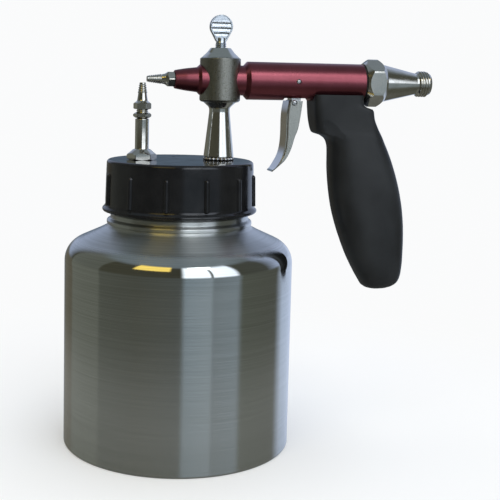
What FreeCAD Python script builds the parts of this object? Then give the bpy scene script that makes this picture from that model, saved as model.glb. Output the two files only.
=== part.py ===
"""Siphon-feed airbrush gun: a quart cup, a screw cap with post and fluid stem, and a pistol-grip air gun.

Frame: millimetres, origin at the centre of the cup's flat bottom, +Z up. The gun sprays towards -X and
its grip and hose thread are on +X. Parts of the gun are drawn along their own axis, which lies on local
+Z with local +X pointing down, and are then laid along the gun's axis.
"""
import FreeCAD, Part
import math
import os
import re
import Sketcher

DIMS = [
    # cup
    ("cup_r", 57.15, "outer radius, a 4.5 in cup of one quart"),
    ("cup_wall", 1.2, "drawn wall"),
    ("cup_floor", 1.6, "bottom thickness"),
    ("cup_edge", 1.2, "rounding of the bottom edge"),
    ("shoulder_z", 99.6, "corner where the wall would meet the sloping shoulder"),
    ("shoulder_round", 11.5, "outer rounding of the shoulder"),
    ("neck_r", 35.2, "neck radius under the bead"),
    ("neck_z", 109.5, "corner where the shoulder would meet the neck"),
    ("inner_shoulder_drop", 0.8, "inner corner of the shoulder, lower than the outer one"),
    ("inner_neck_drop", 0.2, "inner corner at the neck, lower than the outer one"),
    ("crease_round", 0.8, "rounding of the crease under the bead"),
    ("neck_round", 6.0, "inner rounding into the neck"),
    ("bead_r", 36.2, "rolled bead under the cap"),
    ("bead_z", 110.1, "lower edge of the bead"),
    ("bead_h", 3.2, "height of the bead"),
    ("bead_slope", 0.5, "height of the bead's sloping edges"),
    ("mouth_r", 32.8, "inner radius of the mouth"),
    ("neck_thread_r", 34.2, "major radius of the neck thread"),
    ("rim_z", 138.6, "top of the cup"),
    # cap
    ("cap_z", 117.0, "lower edge of the cap"),
    ("cap_top_z", 142.5, "top face of the cap"),
    ("cap_top_r", 36.6, "radius at the top"),
    ("cap_skirt_r", 37.3, "radius just above the flange"),
    ("cap_flange_r", 38.7, "radius of the flange"),
    ("cap_flange_h", 2.4, "height of the flange"),
    ("flange_chamfer", 0.6, "chamfer under the flange"),
    ("flange_slope", 1.0, "height of the slope above the flange"),
    ("cap_bore_r", 34.6, "inner radius"),
    ("cap_deck", 2.6, "thickness of the top"),
    ("cap_edge", 2.0, "rounding of the top edge"),
    ("rib_count", 12, "grip ribs round the cap"),
    ("rib_r", 1.3, "half width of a rib"),
    ("rib_top", 19.0, "top of a rib above the cap's lower edge"),
    ("rib_path_r", 36.75, "radius of the circle the ribs stand on"),
    ("vent_r", 0.8, "air vent in the cap"),
    ("fitting_x", 19.5, "distance of the stem and of the post from the cup's axis"),
    ("gasket_hole_r", 27.5, "inner radius of the cap's gasket"),
    ("gasket_gap", 0.2, "gasket smaller than the neck"),
    ("overrun", 1.0, "how far a cut runs past the surface it opens"),
    # fluid stem
    ("stem_r", 3.45, "tube of the stem"),
    ("stem_bore_r", 1.6, "paint passage"),
    ("stem_hex_af", 13.0, "hexagon at the foot of the stem, across flats"),
    ("stem_hex_h", 3.6, "height of that hexagon"),
    ("stem_foot_h", 5.0, "height of the hexagon with its cone"),
    ("stem_hex_turn", 15, "turn of the hexagons on the stem and its tip, degrees"),
    ("stem_hex_chamfer", 0.9, "height of the chamfer at that hexagon's corners"),
    ("hex_inset", 0.1, "turned body inside the hexagon round it"),
    ("stem_cone_r", 4.75, "top of the cone over the hexagon"),
    ("stem_tube_h", 20.3, "height of the tube above the cap"),
    ("stem_neck_r", 3.0, "thread that carries the fluid tip"),
    ("stem_h", 27.0, "top of the stem above the cap"),
    ("shank_r", 3.9, "threaded shank through the cap"),
    ("shank_h", 11.0, "length of the shank below the cap's top"),
    ("siphon_r", 2.9, "siphon tube, outside"),
    ("siphon_bore_r", 2.05, "siphon tube, inside"),
    ("siphon_foot_z", 6.0, "end of the siphon tube above the bench"),
    ("socket_h", 6.0, "depth of the siphon tube in the shank"),
    ("slack", 0.05, "radial clearance of pins, threads and sliding fits"),
    ("under_nut_af", 12.0, "nut under the cap, across flats"),
    ("under_nut_h", 3.0, "height of that nut"),
    ("under_washer_h", 0.8, "thickness of the sealing washer under the cap"),
    ("under_washer_r", 6.6, "outer radius of that washer"),
    ("lock_nut_z", 20.7, "lock nut of the fluid tip, above the cap"),
    ("lock_nut_h", 2.6, "height of the lock nut"),
    ("lock_nut_af", 8.0, "lock nut, across flats"),
    # fluid tip
    ("tip_z", 25.0, "lower edge of the fluid tip above the cap"),
    ("tip_hex_af", 7.8, "hexagon of the fluid tip, across flats"),
    ("tip_hex_h", 2.8, "height of that hexagon"),
    ("tip_hex_low", 1.4, "start of that hexagon"),
    ("tip_h", 13.1, "height of the fluid tip"),
    ("tip_flare_r", 2.8, "upper part of the flare over the hexagon"),
    ("tip_flare_h", 1.9, "height of that part above the hexagon"),
    ("tip_root_r", 2.5, "foot of the barbed cone"),
    ("tip_root_h", 2.7, "height of the cone's foot above the hexagon"),
    ("tip_nose_r", 1.75, "foot of the tip's nose"),
    ("tip_nose_h", 3.0, "height of the nose"),
    ("tip_orifice_r", 0.75, "paint orifice"),
    ("tip_end_r", 1.5, "radius at the top of the fluid tip"),
    ("tip_socket_h", 3.0, "depth of the thread in the fluid tip"),
    ("tip_well_h", 2.0, "wide bore above the thread"),
    ("tip_well_cone_h", 0.5, "cone from the wide bore to the orifice"),
    ("tip_seal_h", 1.1, "packing ring in the mouth of the fluid tip"),
    ("tip_seal_r", 3.6, "outer radius of the packing ring"),
    # post
    ("washer_h", 1.5, "serrated washer under the post"),
    ("washer_r", 7.9, "serrated washer, over its teeth"),
    ("washer_teeth", 20, "teeth of the serrated washer"),
    ("notch_r", 0.62, "notch between two teeth"),
    ("notch_out", 0.25, "centre of a notch outside the rim"),
    ("post_foot_r", 7.6, "foot of the post"),
    ("post_waist_r", 5.15, "waist of the post"),
    ("post_waist_h", 23.3, "height of the waist above the cap"),
    ("yoke_low_h", 29.7, "underside of the yoke above the cap"),
    ("flare_h", 2.2, "height of the flare under the yoke"),
    ("flare_round", 3.2, "hollow rounding of that flare"),
    ("yoke_high_h", 50.8, "top edge of the yoke above the cap"),
    ("yoke_edge_in", 0.7, "top edge of the yoke, width of its slope"),
    ("yoke_edge_h", 0.4, "top edge of the yoke, height of its slope"),
    ("crown_r", 5.9, "crown where it turns up to the post's top"),
    ("crown_h", 1.6, "that place above the yoke's top edge"),
    ("crown_round", 2.4, "hollow rounding of the crown"),
    ("yoke_r", 10.2, "yoke cylinder"),
    ("post_top_h", 55.9, "top of the post above the cap"),
    ("post_top_r", 5.0, "top of the post"),
    ("post_bore_r", 2.0, "thread for the screw from below"),
    ("post_bore_h", 14.0, "depth of that thread above the cap"),
    ("post_hole_gap", 0.2, "room round the screw in the cap and the serrated washer"),
    ("post_screw_gap", 1.0, "thread left free above the screw's end"),
    ("screw_room", 0.1, "room between a flat washer and its screw"),
    ("driver_slot_w", 1.0, "width of the slots in the two hidden screws"),
    ("post_slot_h", 1.3, "depth of the slot in the screw under the cap"),
    ("post_screw_head_r", 4.0, "screw under the cap, head"),
    ("post_screw_head_h", 3.0, "screw under the cap, head height"),
    ("flat_washer_r", 5.5, "flat washer under the cap"),
    ("flat_washer_h", 1.0, "flat washer under the cap"),
    # thumb screw
    ("thumb_thread_r", 2.85, "thread of the thumb screw"),
    ("thumb_disc_r", 5.8, "round head of the thumb screw"),
    ("thumb_disc_z", 209.0, "centre of the round head"),
    ("thumb_disc_t", 3.0, "thickness of the head"),
    ("thumb_neck_z", 202.0, "start of the head above the bench"),
    ("thumb_neck_hw", 2.7, "half width of the head at its start"),
    ("thumb_neck_in", 0.5, "shank running up into the head"),
    ("thumb_flank_hw", 5.4, "half width where the flanks meet the disc"),
    ("thumb_flank_drop", 2.1, "that place below the disc's centre"),
    ("thumb_pad_r", 2.75, "brass pad, radius"),
    ("thumb_pad_h", 1.4, "brass pad between the screw and the gun"),
    ("thumb_pad_gap", 0.15, "pad above the gun's neck"),
    # gun axis and barrel
    ("gun_z", 182.5, "height of the gun's axis"),
    ("barrel_r", 9.525, "three-quarter inch barrel"),
    ("barrel_front", -23.3, "front end of the barrel, behind the post's axis"),
    ("barrel_back", 74.3, "rear end of the barrel"),
    ("nose_front_r", 4.6, "front end of the barrel's nose"),
    ("nose_mid_r", 5.55, "middle of the nose, slightly crowned"),
    ("nose_back_r", 6.2, "rear end of the nose"),
    ("nose_back", -11.9, "rear end of the nose"),
    ("collar_front", -10.5, "front of the clamped neck"),
    ("collar_r", 7.5, "neck clamped in the yoke"),
    ("collar_back", 11.9, "rear of the clamped neck"),
    ("step_back", 13.85, "end of the chamfer behind the neck"),
    ("front_bore_r", 2.4, "air passage in the nose"),
    ("front_bore_end", 8.0, "end of that passage"),
    ("transfer_r", 1.3, "slanting air passage above the trigger slot"),
    ("transfer_front", 3.0, "front end of the slanting passage"),
    ("transfer_front_up", 1.0, "height of its front end above the axis"),
    ("transfer_back", 53.0, "rear end of the slanting passage"),
    ("transfer_back_up", 7.2, "height of its rear end above the axis"),
    ("chamber_r", 7.2, "valve chamber"),
    ("chamber_front", 46.2, "front of the valve chamber"),
    ("slot_front", 33.4, "front of the trigger slot"),
    ("slot_back", 45.2, "rear of the trigger slot"),
    ("slot_hw", 4.3, "half width of the trigger slot"),
    ("slot_up", 3.1, "top of the trigger slot above the axis"),
    ("flat_front", 32.4, "front of the flat under the barrel"),
    ("flat_back", 46.0, "rear of the flat under the barrel"),
    ("flat_cut", 1.2, "depth of the flat"),
    ("lug_at", 62.0, "threaded lug under the barrel, behind the post's axis"),
    ("lug_r", 3.8, "radius of the lug"),
    ("lug_low", 8.6, "start of the lug below the gun's axis"),
    ("lug_length", 9.0, "length of the lug along the bolt"),
    # air tip
    ("air_tip_front", -37.0, "front end of the air tip"),
    ("air_tip_end_r", 1.45, "radius at the front of the air tip"),
    ("air_tip_root_r", 2.75, "radius where the air tip flares"),
    ("air_tip_root", -28.8, "start of the flare"),
    ("air_hex_front", -27.0, "front of the air tip's hexagon"),
    ("air_hex_back", -23.8, "rear of the air tip's hexagon"),
    ("air_hex_af", 7.2, "hexagon of the air tip, across flats"),
    ("air_shank_r", 2.85, "thread of the air tip"),
    ("air_shank_end", -16.8, "rear end of the air tip"),
    ("air_shank_gap", 0.6, "room behind the air tip"),
    ("air_orifice_r", 0.6, "air orifice"),
    ("air_tip_bore_r", 1.5, "bore behind the orifice"),
    ("air_hex_inset", 0.4, "flare running into the hexagon"),
    ("air_hex_turn", 30, "turn of the air tip's hexagon, degrees"),
    ("air_seal_r", 3.7, "seal between the air tip and the barrel"),
    # trigger
    ("pivot_at", 38.3, "trigger pin behind the post's axis"),
    ("pin_r", 1.25, "trigger pin"),
    ("trigger_hw", 6.5, "half width of the trigger"),
    ("trigger_face", 2.0, "front wall of the trigger"),
    ("hollow_high", -8.0, "top of the trigger's hollow above its pin"),
    ("hollow_low", -38.0, "bottom of the hollow"),
    ("hollow_low_at", -1.5, "bottom of the hollow, behind the pin"),
    ("hollow_back", 6.0, "rear of the hollow behind the pin"),
    ("hollow_back_low", -30.0, "lower rear corner of the hollow"),
    ("lever_hw", 4.0, "half width of the lever inside the trigger"),
    ("lever_boss_r", 2.8, "lever round its pin"),
    ("lever_knee", -9.0, "height where the lever narrows, above its pin"),
    ("lever_knee_at", -1.9, "front of the lever there"),
    ("lever_low", -15.5, "lower end of the lever"),
    ("lever_low_front", -1.5, "front of the lower end"),
    ("lever_low_back", 1.7, "rear of the lower end"),
    ("pin_inset", 0.1, "end of the pin and cross screw inside the surface round them"),
    ("trigger_screw_at", 37.1, "cross screw behind the post's axis"),
    ("trigger_screw_low", 10.7, "cross screw below the gun's axis"),
    ("trigger_screw_r", 1.45, "cross screw"),
    ("cross_slot_w", 0.5, "width of the cross screw's slot"),
    ("cross_slot_h", 0.8, "depth of that slot"),
    # valve
    ("valve_low", 4.4, "valve axis below the gun's axis"),
    ("valve_body_r", 7.15, "valve body"),
    ("valve_body_back", 56.2, "seat face of the valve body"),
    ("valve_port_r", 1.9, "port through the seat"),
    ("valve_port_front", 51.0, "front of the port"),
    ("valve_rod_r", 1.0, "valve rod"),
    ("side_port_at", 52.8, "port up to the slanting passage"),
    ("rod_tip_r", 0.7, "chamfered tip of the rod"),
    ("rod_tip_h", 0.4, "height of that chamfer"),
    ("valve_rod_front", 41.7, "front end of the valve rod"),
    ("valve_head_r", 2.5, "head of the valve"),
    ("valve_seal_h", 1.0, "rubber disc on the head"),
    ("valve_head_h", 1.4, "thickness of the head"),
    ("valve_tail_r", 1.05, "tail that centres the spring"),
    ("valve_tail_h", 2.0, "length of the tail"),
    ("packing_r", 2.2, "packing round the valve rod"),
    ("packing_h", 2.0, "length of the packing"),
    ("spring_r", 1.75, "mean radius of the valve spring"),
    ("spring_wire_r", 0.28, "wire of the valve spring"),
    ("spring_gap", 0.05, "room at each end of the spring"),
    ("spring_turns", 6, "turns of the valve spring"),
    # rear connector
    ("spigot_front", 66.0, "front end of the connector inside the barrel"),
    ("spigot_r", 7.15, "thread of the connector inside the barrel"),
    ("spigot_bore_r", 2.4, "air passage in the connector"),
    ("ring_h", 0.6, "sealing ring between barrel and connector"),
    ("ring_r", 9.1, "sealing ring, outside"),
    ("nut_front_r", 9.9, "connector where it meets the ring"),
    ("nut_af", 21.2, "connector hexagon, across flats"),
    ("nut_full_front", 77.9, "front of the full hexagon"),
    ("nut_full_back", 82.6, "rear of the full hexagon"),
    ("nut_back", 85.4, "end of the hexagon's rear chamfer"),
    ("cone_front_r", 9.65, "connector cone at the hexagon"),
    ("cone_back_r", 5.55, "connector cone at the thread"),
    ("cone_back", 103.2, "end of the cone"),
    ("relief_back", 104.3, "end of the thread relief"),
    ("hair", 0.001, "keeps two faces of a cut from coinciding"),
    ("hose_thread_r", 6.65, "quarter-inch pipe thread, major radius"),
    ("hose_end", 111.2, "rear end of the connector"),
    ("hose_chamfer", 0.8, "chamfer at the rear end"),
    ("hose_bore_r", 2.7, "air passage at the hose end"),
    # grip
    ("saddle_front", 65.3, "front of the grip's saddle"),
    ("saddle_back", 92.3, "rear of the grip's saddle"),
    ("saddle_top_z", 176.2, "upper edge of the saddle"),
    ("saddle_low_z", 157.6, "lower front corner of the saddle"),
    ("saddle_hw", 9.9, "half width of the saddle"),
    ("heel_front", 69.3, "front of the grip's rear shoulder, inside the saddle"),
    ("heel_back", 100.2, "rear shoulder of the grip under the connector"),
    ("heel_z", 169.6, "top of that shoulder"),
    ("barrel_room_r", 9.6, "groove of the saddle round the barrel"),
    ("nut_room_front", 73.7, "front of the room for the connector"),
    ("nut_room_gap", 0.3, "room round the connector's hexagon"),
    ("grip_reach", 60.0, "length of the cuts that run out of the grip"),
    ("bolt_lean", 14.8, "lean of the bolt and lug, degrees from upright"),
    ("bolt_r", 2.0, "bolt up the grip"),
    ("bolt_tip", 1.8, "tip of the bolt, along its axis from the lug's start"),
    ("bolt_seat", 92.0, "seat of the bolt's washer, along its axis"),
    ("bolt_head_r", 3.8, "head of the bolt"),
    ("bolt_head_h", 3.5, "height of the bolt's head"),
    ("bolt_slot_h", 1.4, "depth of the slot in the bolt's head"),
    ("bolt_washer_r", 4.3, "washer of the bolt"),
    ("bolt_washer_h", 0.8, "thickness of that washer"),
    ("bolt_room", 0.3, "room round the bolt and its washer"),
]

# Height, front, back and half width of the grip's oval section at each station.
GRIP_STATIONS = [
    ("a", 163.0, 70.0, 101.6, 10.0),
    ("b", 155.5, 73.6, 105.4, 10.4),
    ("c", 149.0, 76.3, 108.7, 10.9),
    ("d", 141.0, 77.0, 112.3, 11.5),
    ("e", 126.5, 78.7, 117.1, 12.2),
    ("f", 109.5, 82.9, 119.9, 12.3),
    ("g", 93.0, 89.8, 120.2, 11.8),
    ("h", 82.0, 95.9, 119.2, 10.8),
    ("i", 76.4, 100.0, 116.4, 8.0),
]

# Corners of the trigger's side outline, behind and above its pin: down the front, then up the rear.
TRIGGER_CORNERS = [
    ("a", -3.8, -9.7),
    ("b", -4.9, -19.0),
    ("c", -4.9, -26.5),
    ("d", -5.4, -33.0),
    ("e", -6.9, -38.5),
    ("f", -9.8, -43.4),
    ("g", -11.6, -44.9),
    ("h", -10.9, -45.6),
    ("i", -8.2, -42.3),
    ("j", -4.9, -39.2),
    ("k", -2.3, -34.2),
    ("l", -0.4, -27.8),
    ("m", 1.1, -23.8),
    ("n", 2.4, -16.2),
    ("o", 3.2, -9.7),
]

VECTOR = FreeCAD.Vector
GUN_TURN = FreeCAD.Rotation(VECTOR(0, 1, 0), 90)
doc = FreeCAD.newDocument("airbrush_gun")
sheet = doc.addObject("Spreadsheet::Sheet", "dims")
parts = []


def fill_sheet():
    """Writes every driving dimension, its name and what it is."""
    rows = list(DIMS)
    for key, height, front, back, half in GRIP_STATIONS:
        rows.append(("grip_%s_z" % key, height, "grip section height"))
        rows.append(("grip_%s_front" % key, front, "grip section front"))
        rows.append(("grip_%s_back" % key, back, "grip section back"))
        rows.append(("grip_%s_hw" % key, half, "grip section half width"))
    for key, across, up in TRIGGER_CORNERS:
        rows.append(("trigger_%s_x" % key, across, "trigger outline, behind the pin"))
        rows.append(("trigger_%s_z" % key, up, "trigger outline, above the pin"))
    for row, (name, value, note) in enumerate(rows, start=1):
        sheet.set("A%d" % row, name)
        sheet.set("B%d" % row, str(value))
        sheet.setAlias("B%d" % row, name)
        sheet.set("C%d" % row, note)
    doc.recompute()
    return {row[0] for row in rows}


NAMES = fill_sheet()


def bind(text):
    """An expression in sheet names, written out for the sheet."""
    return re.sub(r"[a-z_]+", lambda word: "dims." + word[0] if word[0] in NAMES else word[0], text)


def value(text):
    """The number an expression gives now."""
    return float(sheet.evalExpression(bind(text)))


def origin_feature(body, role):
    """A plane or axis of a body's own origin."""
    return [feature for feature in body.Origin.OriginFeatures if feature.Role == role][0]


def new_body(label, base=("0", "0", "0"), turn=FreeCAD.Rotation()):
    """A part's body, placed by three expressions."""
    body = doc.addObject("PartDesign::Body", label)
    body.Label = label
    place(body, base, turn)
    parts.append(body)
    return body


def place(item, base, turn=FreeCAD.Rotation()):
    """Puts an object at a point given by three expressions."""
    item.Placement = FreeCAD.Placement(VECTOR(*[value(text) for text in base]), turn)
    for axis, text in zip("xyz", base):
        if text != "0":
            item.setExpression("Placement.Base." + axis, bind(text))


def gun_body(label):
    """A body whose local +Z runs rearwards along the gun's axis from the post's axis."""
    return new_body(label, ("fitting_x", "0", "gun_z"), GUN_TURN)


def outline(body, label, corners, plane="XZ_Plane"):
    """A closed sketch through the given corners, each bound to the sheet."""
    sketch = body.newObject("Sketcher::SketchObject", label)
    sketch.AttachmentSupport = [(origin_feature(body, plane), "")]
    sketch.MapMode = "FlatFace"
    points = [VECTOR(value(across), value(up), 0) for across, up in corners]
    count = len(points)
    for index in range(count):
        sketch.addGeometry(Part.LineSegment(points[index], points[(index + 1) % count]), False)
    for index in range(count):
        sketch.addConstraint(Sketcher.Constraint("Coincident", index, 2, (index + 1) % count, 1))
    for index, (across, up) in enumerate(corners):
        fix(sketch, index, "DistanceX", across, -2)
        fix(sketch, index, "DistanceY", up, -1)
    return sketch


def fix(sketch, index, kind, text, axis):
    """Holds one corner's distance from an axis of the sketch."""
    number = value(text)
    if abs(number) < 1e-9:
        sketch.addConstraint(Sketcher.Constraint("PointOnObject", index, 1, axis))
        return
    constraint = sketch.addConstraint(Sketcher.Constraint(kind, -1, 1, index, 1, number))
    sketch.setExpression("Constraints[%d]" % constraint, bind(text))


def turned(body, label, corners, kind="PartDesign::Revolution"):
    """A solid, or a groove, turned about the body's Z axis."""
    profile = outline(body, label + "_profile", corners)
    feature = body.newObject(kind, label)
    feature.Profile = profile
    feature.ReferenceAxis = (origin_feature(body, "Z_Axis"), [""])
    feature.Angle = 360
    doc.recompute()
    return feature


def flat(body, label, corners, length, kind="PartDesign::Pad"):
    """A pad or pocket of a side outline, the same distance each way from the XZ plane."""
    feature = body.newObject(kind, label)
    feature.Profile = outline(body, label + "_profile", corners)
    feature.SideType = "Symmetric"
    feature.setExpression("Length", bind(length))
    doc.recompute()
    return feature


def primitive(body, kind, label, base=("0", "0", "0"), turn=FreeCAD.Rotation(), **sizes):
    """A primitive feature of a body, its sizes and place bound to the sheet."""
    feature = body.newObject("PartDesign::" + kind, label)
    for name, text in sizes.items():
        feature.setExpression(name, bind(text))
    place(feature, base, turn)
    doc.recompute()
    return feature


def hexagon(body, label, low, height, across_flats, kind="AdditivePrism", turn=0):
    """A hexagonal prism about the body's Z axis."""
    feature = body.newObject("PartDesign::" + kind, label)
    feature.Polygon = 6
    feature.setExpression("Circumradius", bind("(%s) / sqrt(3)" % across_flats))
    feature.setExpression("Height", bind(height))
    place(feature, ("0", "0", low), FreeCAD.Rotation(VECTOR(0, 0, 1), turn))
    doc.recompute()
    return feature


def round_edges(body, label, base, places, radius):
    """Fillets the circular edges that lie at the given radii and heights."""
    names = []
    for number, edge in enumerate(base.Shape.Edges, start=1):
        curve = edge.Curve
        for across, up in places:
            if isinstance(curve, Part.Circle) and abs(curve.Radius - value(across)) < 0.001:
                if abs(curve.Center.z - value(up)) < 0.001:
                    names.append("Edge%d" % number)
    fillet = body.newObject("PartDesign::Fillet", label)
    fillet.Base = (base, names)
    fillet.setExpression("Radius", bind(radius))
    doc.recompute()
    return fillet


def ring(body, label, inner, outer, low, high):
    """A plain ring or bush about the body's Z axis."""
    return turned(body, label, [(inner, low), (outer, low), (outer, high), (inner, high)])


# ---------------------------------------------------------------- cup and cap

def make_cup():
    body = new_body("cup")
    corners = [
        ("0", "0"), ("cup_r", "0"), ("cup_r", "shoulder_z"), ("neck_r", "neck_z"),
        ("neck_r", "bead_z"), ("bead_r", "bead_z + bead_slope"), ("bead_r", "bead_z + bead_h - bead_slope"),
        ("neck_thread_r", "bead_z + bead_h"), ("neck_thread_r", "rim_z"), ("mouth_r", "rim_z"),
        ("mouth_r", "neck_z - inner_neck_drop"),
        ("cup_r - cup_wall", "shoulder_z - inner_shoulder_drop"),
        ("cup_r - cup_wall", "cup_floor"), ("0", "cup_floor"),
    ]
    shell = turned(body, "shell", corners)
    outer = round_edges(body, "shoulder", shell, [("cup_r", "shoulder_z")], "shoulder_round")
    inner_places = [("cup_r - cup_wall", "shoulder_z - inner_shoulder_drop")]
    inner = round_edges(body, "inner_shoulder", outer, inner_places, "shoulder_round - cup_wall")
    neck = round_edges(body, "crease", inner, [("neck_r", "neck_z")], "crease_round")
    mouth = round_edges(body, "inner_neck", neck, [("mouth_r", "neck_z - inner_neck_drop")], "neck_round")
    round_edges(body, "bottom_edge", mouth, [("cup_r", "0")], "cup_edge")


def make_cap_gasket():
    body = new_body("cap_gasket")
    ring(body, "gasket", "gasket_hole_r", "neck_thread_r - gasket_gap", "rim_z", "cap_top_z - cap_deck")


def make_screw_cap():
    body = new_body("screw_cap", ("0", "0", "cap_z"))
    top = "cap_top_z - cap_z"
    deck = top + " - cap_deck"
    corners = [
        ("0", top), ("0", deck), ("cap_bore_r", deck), ("cap_bore_r", "0"),
        ("cap_flange_r - flange_chamfer", "0"), ("cap_flange_r", "flange_chamfer"),
        ("cap_flange_r", "cap_flange_h"), ("cap_skirt_r", "cap_flange_h + flange_slope"),
        ("cap_top_r", top),
    ]
    shell = turned(body, "skirt", corners)
    round_edges(body, "top_edge", shell, [("cap_top_r", top)], "cap_edge")
    rib_base = ("rib_path_r", "0", "cap_flange_h")
    rib = primitive(body, "AdditiveCylinder", "rib", rib_base, Radius="rib_r",
                    Height="rib_top - cap_flange_h - rib_r")
    nub = primitive(body, "AdditiveSphere", "rib_nub", ("rib_path_r", "0", "rib_top - rib_r"),
                    Radius="rib_r")
    ribs = body.newObject("PartDesign::PolarPattern", "ribs")
    ribs.Originals = [rib, nub]
    ribs.Axis = (origin_feature(body, "Z_Axis"), [""])
    ribs.Angle = 360
    ribs.setExpression("Occurrences", bind("rib_count"))
    body.Tip = ribs
    doc.recompute()
    low = deck + " - overrun"
    primitive(body, "SubtractiveCylinder", "stem_hole", ("-fitting_x", "0", low),
              Radius="shank_r + slack", Height="cap_deck + 2 * overrun")
    primitive(body, "SubtractiveCylinder", "post_hole", ("fitting_x", "0", low),
              Radius="post_bore_r + post_hole_gap", Height="cap_deck + 2 * overrun")
    primitive(body, "SubtractiveCylinder", "vent", ("0", "fitting_x", low),
              Radius="vent_r", Height="cap_deck + 2 * overrun")


# ---------------------------------------------------------------- fluid stem

STEM_BASE = ("-fitting_x", "0", "cap_top_z")
POST_BASE = ("fitting_x", "0", "cap_top_z")


def make_siphon_tube():
    body = new_body("siphon_tube", STEM_BASE)
    ring(body, "tube", "siphon_bore_r", "siphon_r", "siphon_foot_z - cap_top_z", "socket_h - shank_h")


def make_fluid_stem():
    body = new_body("fluid_stem", STEM_BASE)
    corners = [
        ("siphon_r + slack", "-shank_h"), ("shank_r", "-shank_h"), ("shank_r", "0"),
        ("stem_hex_af / 2 - hex_inset", "0"), ("stem_hex_af / 2 - hex_inset", "stem_hex_h"),
        ("stem_cone_r", "stem_foot_h"), ("stem_r", "stem_foot_h"), ("stem_r", "stem_tube_h"),
        ("stem_neck_r", "stem_tube_h"), ("stem_neck_r", "stem_h"), ("stem_bore_r", "stem_h"),
        ("stem_bore_r", "socket_h - shank_h"), ("siphon_r + slack", "socket_h - shank_h"),
    ]
    turned(body, "stem", corners)
    hexagon(body, "foot", "0", "stem_hex_h", "stem_hex_af", turn=value("stem_hex_turn"))
    corner_r = "stem_hex_af / sqrt(3)"
    core_r = "stem_hex_af / 2 - hex_inset"
    cut_low, cut_high = "stem_hex_h - stem_hex_chamfer", "stem_hex_h + hex_inset"
    cut = [
        (corner_r + " + overrun", cut_low), (corner_r, cut_low), (core_r, "stem_hex_h"),
        (core_r, cut_high), (corner_r + " + overrun", cut_high),
    ]
    turned(body, "foot_corners", cut, "PartDesign::Groove")


def make_stem_washer():
    body = new_body("stem_washer", STEM_BASE)
    ring(body, "washer", "shank_r + slack", "under_washer_r", "-cap_deck - under_washer_h", "-cap_deck")


def hex_nut(label, base, low, height, across_flats, bore):
    """A plain hexagonal nut with a round hole for its thread."""
    body = new_body(label, base)
    hexagon(body, "nut", low, height, across_flats)
    primitive(body, "SubtractiveCylinder", "thread", ("0", "0", low + " - overrun"),
              Radius=bore, Height=height + " + 2 * overrun")


def make_stem_nuts():
    hex_nut("stem_nut", STEM_BASE, "-cap_deck - under_washer_h - under_nut_h", "under_nut_h",
            "under_nut_af", "shank_r + slack")
    hex_nut("tip_lock_nut", STEM_BASE, "lock_nut_z", "lock_nut_h", "lock_nut_af",
            "stem_neck_r + slack")


def make_tip_seal():
    body = new_body("tip_seal", STEM_BASE)
    ring(body, "packing", "stem_neck_r + slack", "tip_seal_r", "tip_z", "tip_z + tip_seal_h")


def make_fluid_tip():
    body = new_body("fluid_tip", ("-fitting_x", "0", "cap_top_z + tip_z"))
    thread = "stem_neck_r + slack"
    corners = [
        ("tip_seal_r + slack", "0"), ("tip_hex_af / 2", "0"), ("tip_hex_af / 2", "tip_hex_h"),
        ("tip_flare_r", "tip_hex_h + tip_flare_h"), ("tip_root_r", "tip_hex_h + tip_root_h"),
        ("tip_nose_r", "tip_h - tip_nose_h"), ("tip_end_r", "tip_h"), ("tip_orifice_r", "tip_h"),
        ("tip_orifice_r", "tip_socket_h + tip_well_h + tip_well_cone_h"),
        ("stem_bore_r", "tip_socket_h + tip_well_h"), ("stem_bore_r", "tip_socket_h"),
        (thread, "tip_socket_h"), (thread, "tip_seal_h + slack"),
        ("tip_seal_r + slack", "tip_seal_h + slack"),
    ]
    turned(body, "tip", corners)
    hexagon(body, "hexagon", "tip_hex_low", "tip_hex_h - tip_hex_low", "tip_hex_af",
            turn=value("stem_hex_turn"))
    primitive(body, "SubtractiveCylinder", "thread", ("0", "0", "0"), Radius=thread,
              Height="tip_socket_h")


# ---------------------------------------------------------------- post and yoke

def make_star_washer():
    body = new_body("star_washer", POST_BASE)
    ring(body, "washer", "post_bore_r + post_hole_gap", "washer_r", "0", "washer_h")
    notch = primitive(body, "SubtractiveCylinder", "notch", ("washer_r + notch_out", "0", "-overrun"),
                      Radius="notch_r", Height="washer_h + 2 * overrun")
    teeth = body.newObject("PartDesign::PolarPattern", "teeth")
    teeth.Originals = [notch]
    teeth.Axis = (origin_feature(body, "Z_Axis"), [""])
    teeth.Angle = 360
    teeth.setExpression("Occurrences", bind("washer_teeth"))
    body.Tip = teeth
    doc.recompute()


def make_support_post():
    body = new_body("support_post", POST_BASE)
    corners = [
        ("0", "washer_h"), ("post_foot_r", "washer_h"), ("post_waist_r", "post_waist_h"),
        ("post_waist_r", "yoke_low_h - flare_h"), ("yoke_r", "yoke_low_h"), ("yoke_r", "yoke_high_h"),
        ("yoke_r - yoke_edge_in", "yoke_high_h + yoke_edge_h"), ("crown_r", "yoke_high_h + crown_h"),
        ("post_top_r", "post_top_h"), ("0", "post_top_h"),
    ]
    post = turned(body, "post", corners)
    flare = [("post_waist_r", "yoke_low_h - flare_h")]
    lower = round_edges(body, "flare", post, flare, "flare_round")
    crown = [("crown_r", "yoke_high_h + crown_h")]
    round_edges(body, "crown", lower, crown, "crown_round")
    primitive(body, "SubtractiveCylinder", "foot_thread", ("0", "0", "0"),
              Radius="post_bore_r", Height="post_bore_h")
    primitive(body, "SubtractiveCylinder", "gun_bore", ("-yoke_r - overrun", "0", "gun_z - cap_top_z"),
              GUN_TURN, Radius="collar_r + slack", Height="2 * yoke_r + 2 * overrun")
    primitive(body, "SubtractiveCylinder", "thumb_thread", ("0", "0", "gun_z - cap_top_z"),
              Radius="thumb_thread_r + slack", Height="post_top_h")


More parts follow.
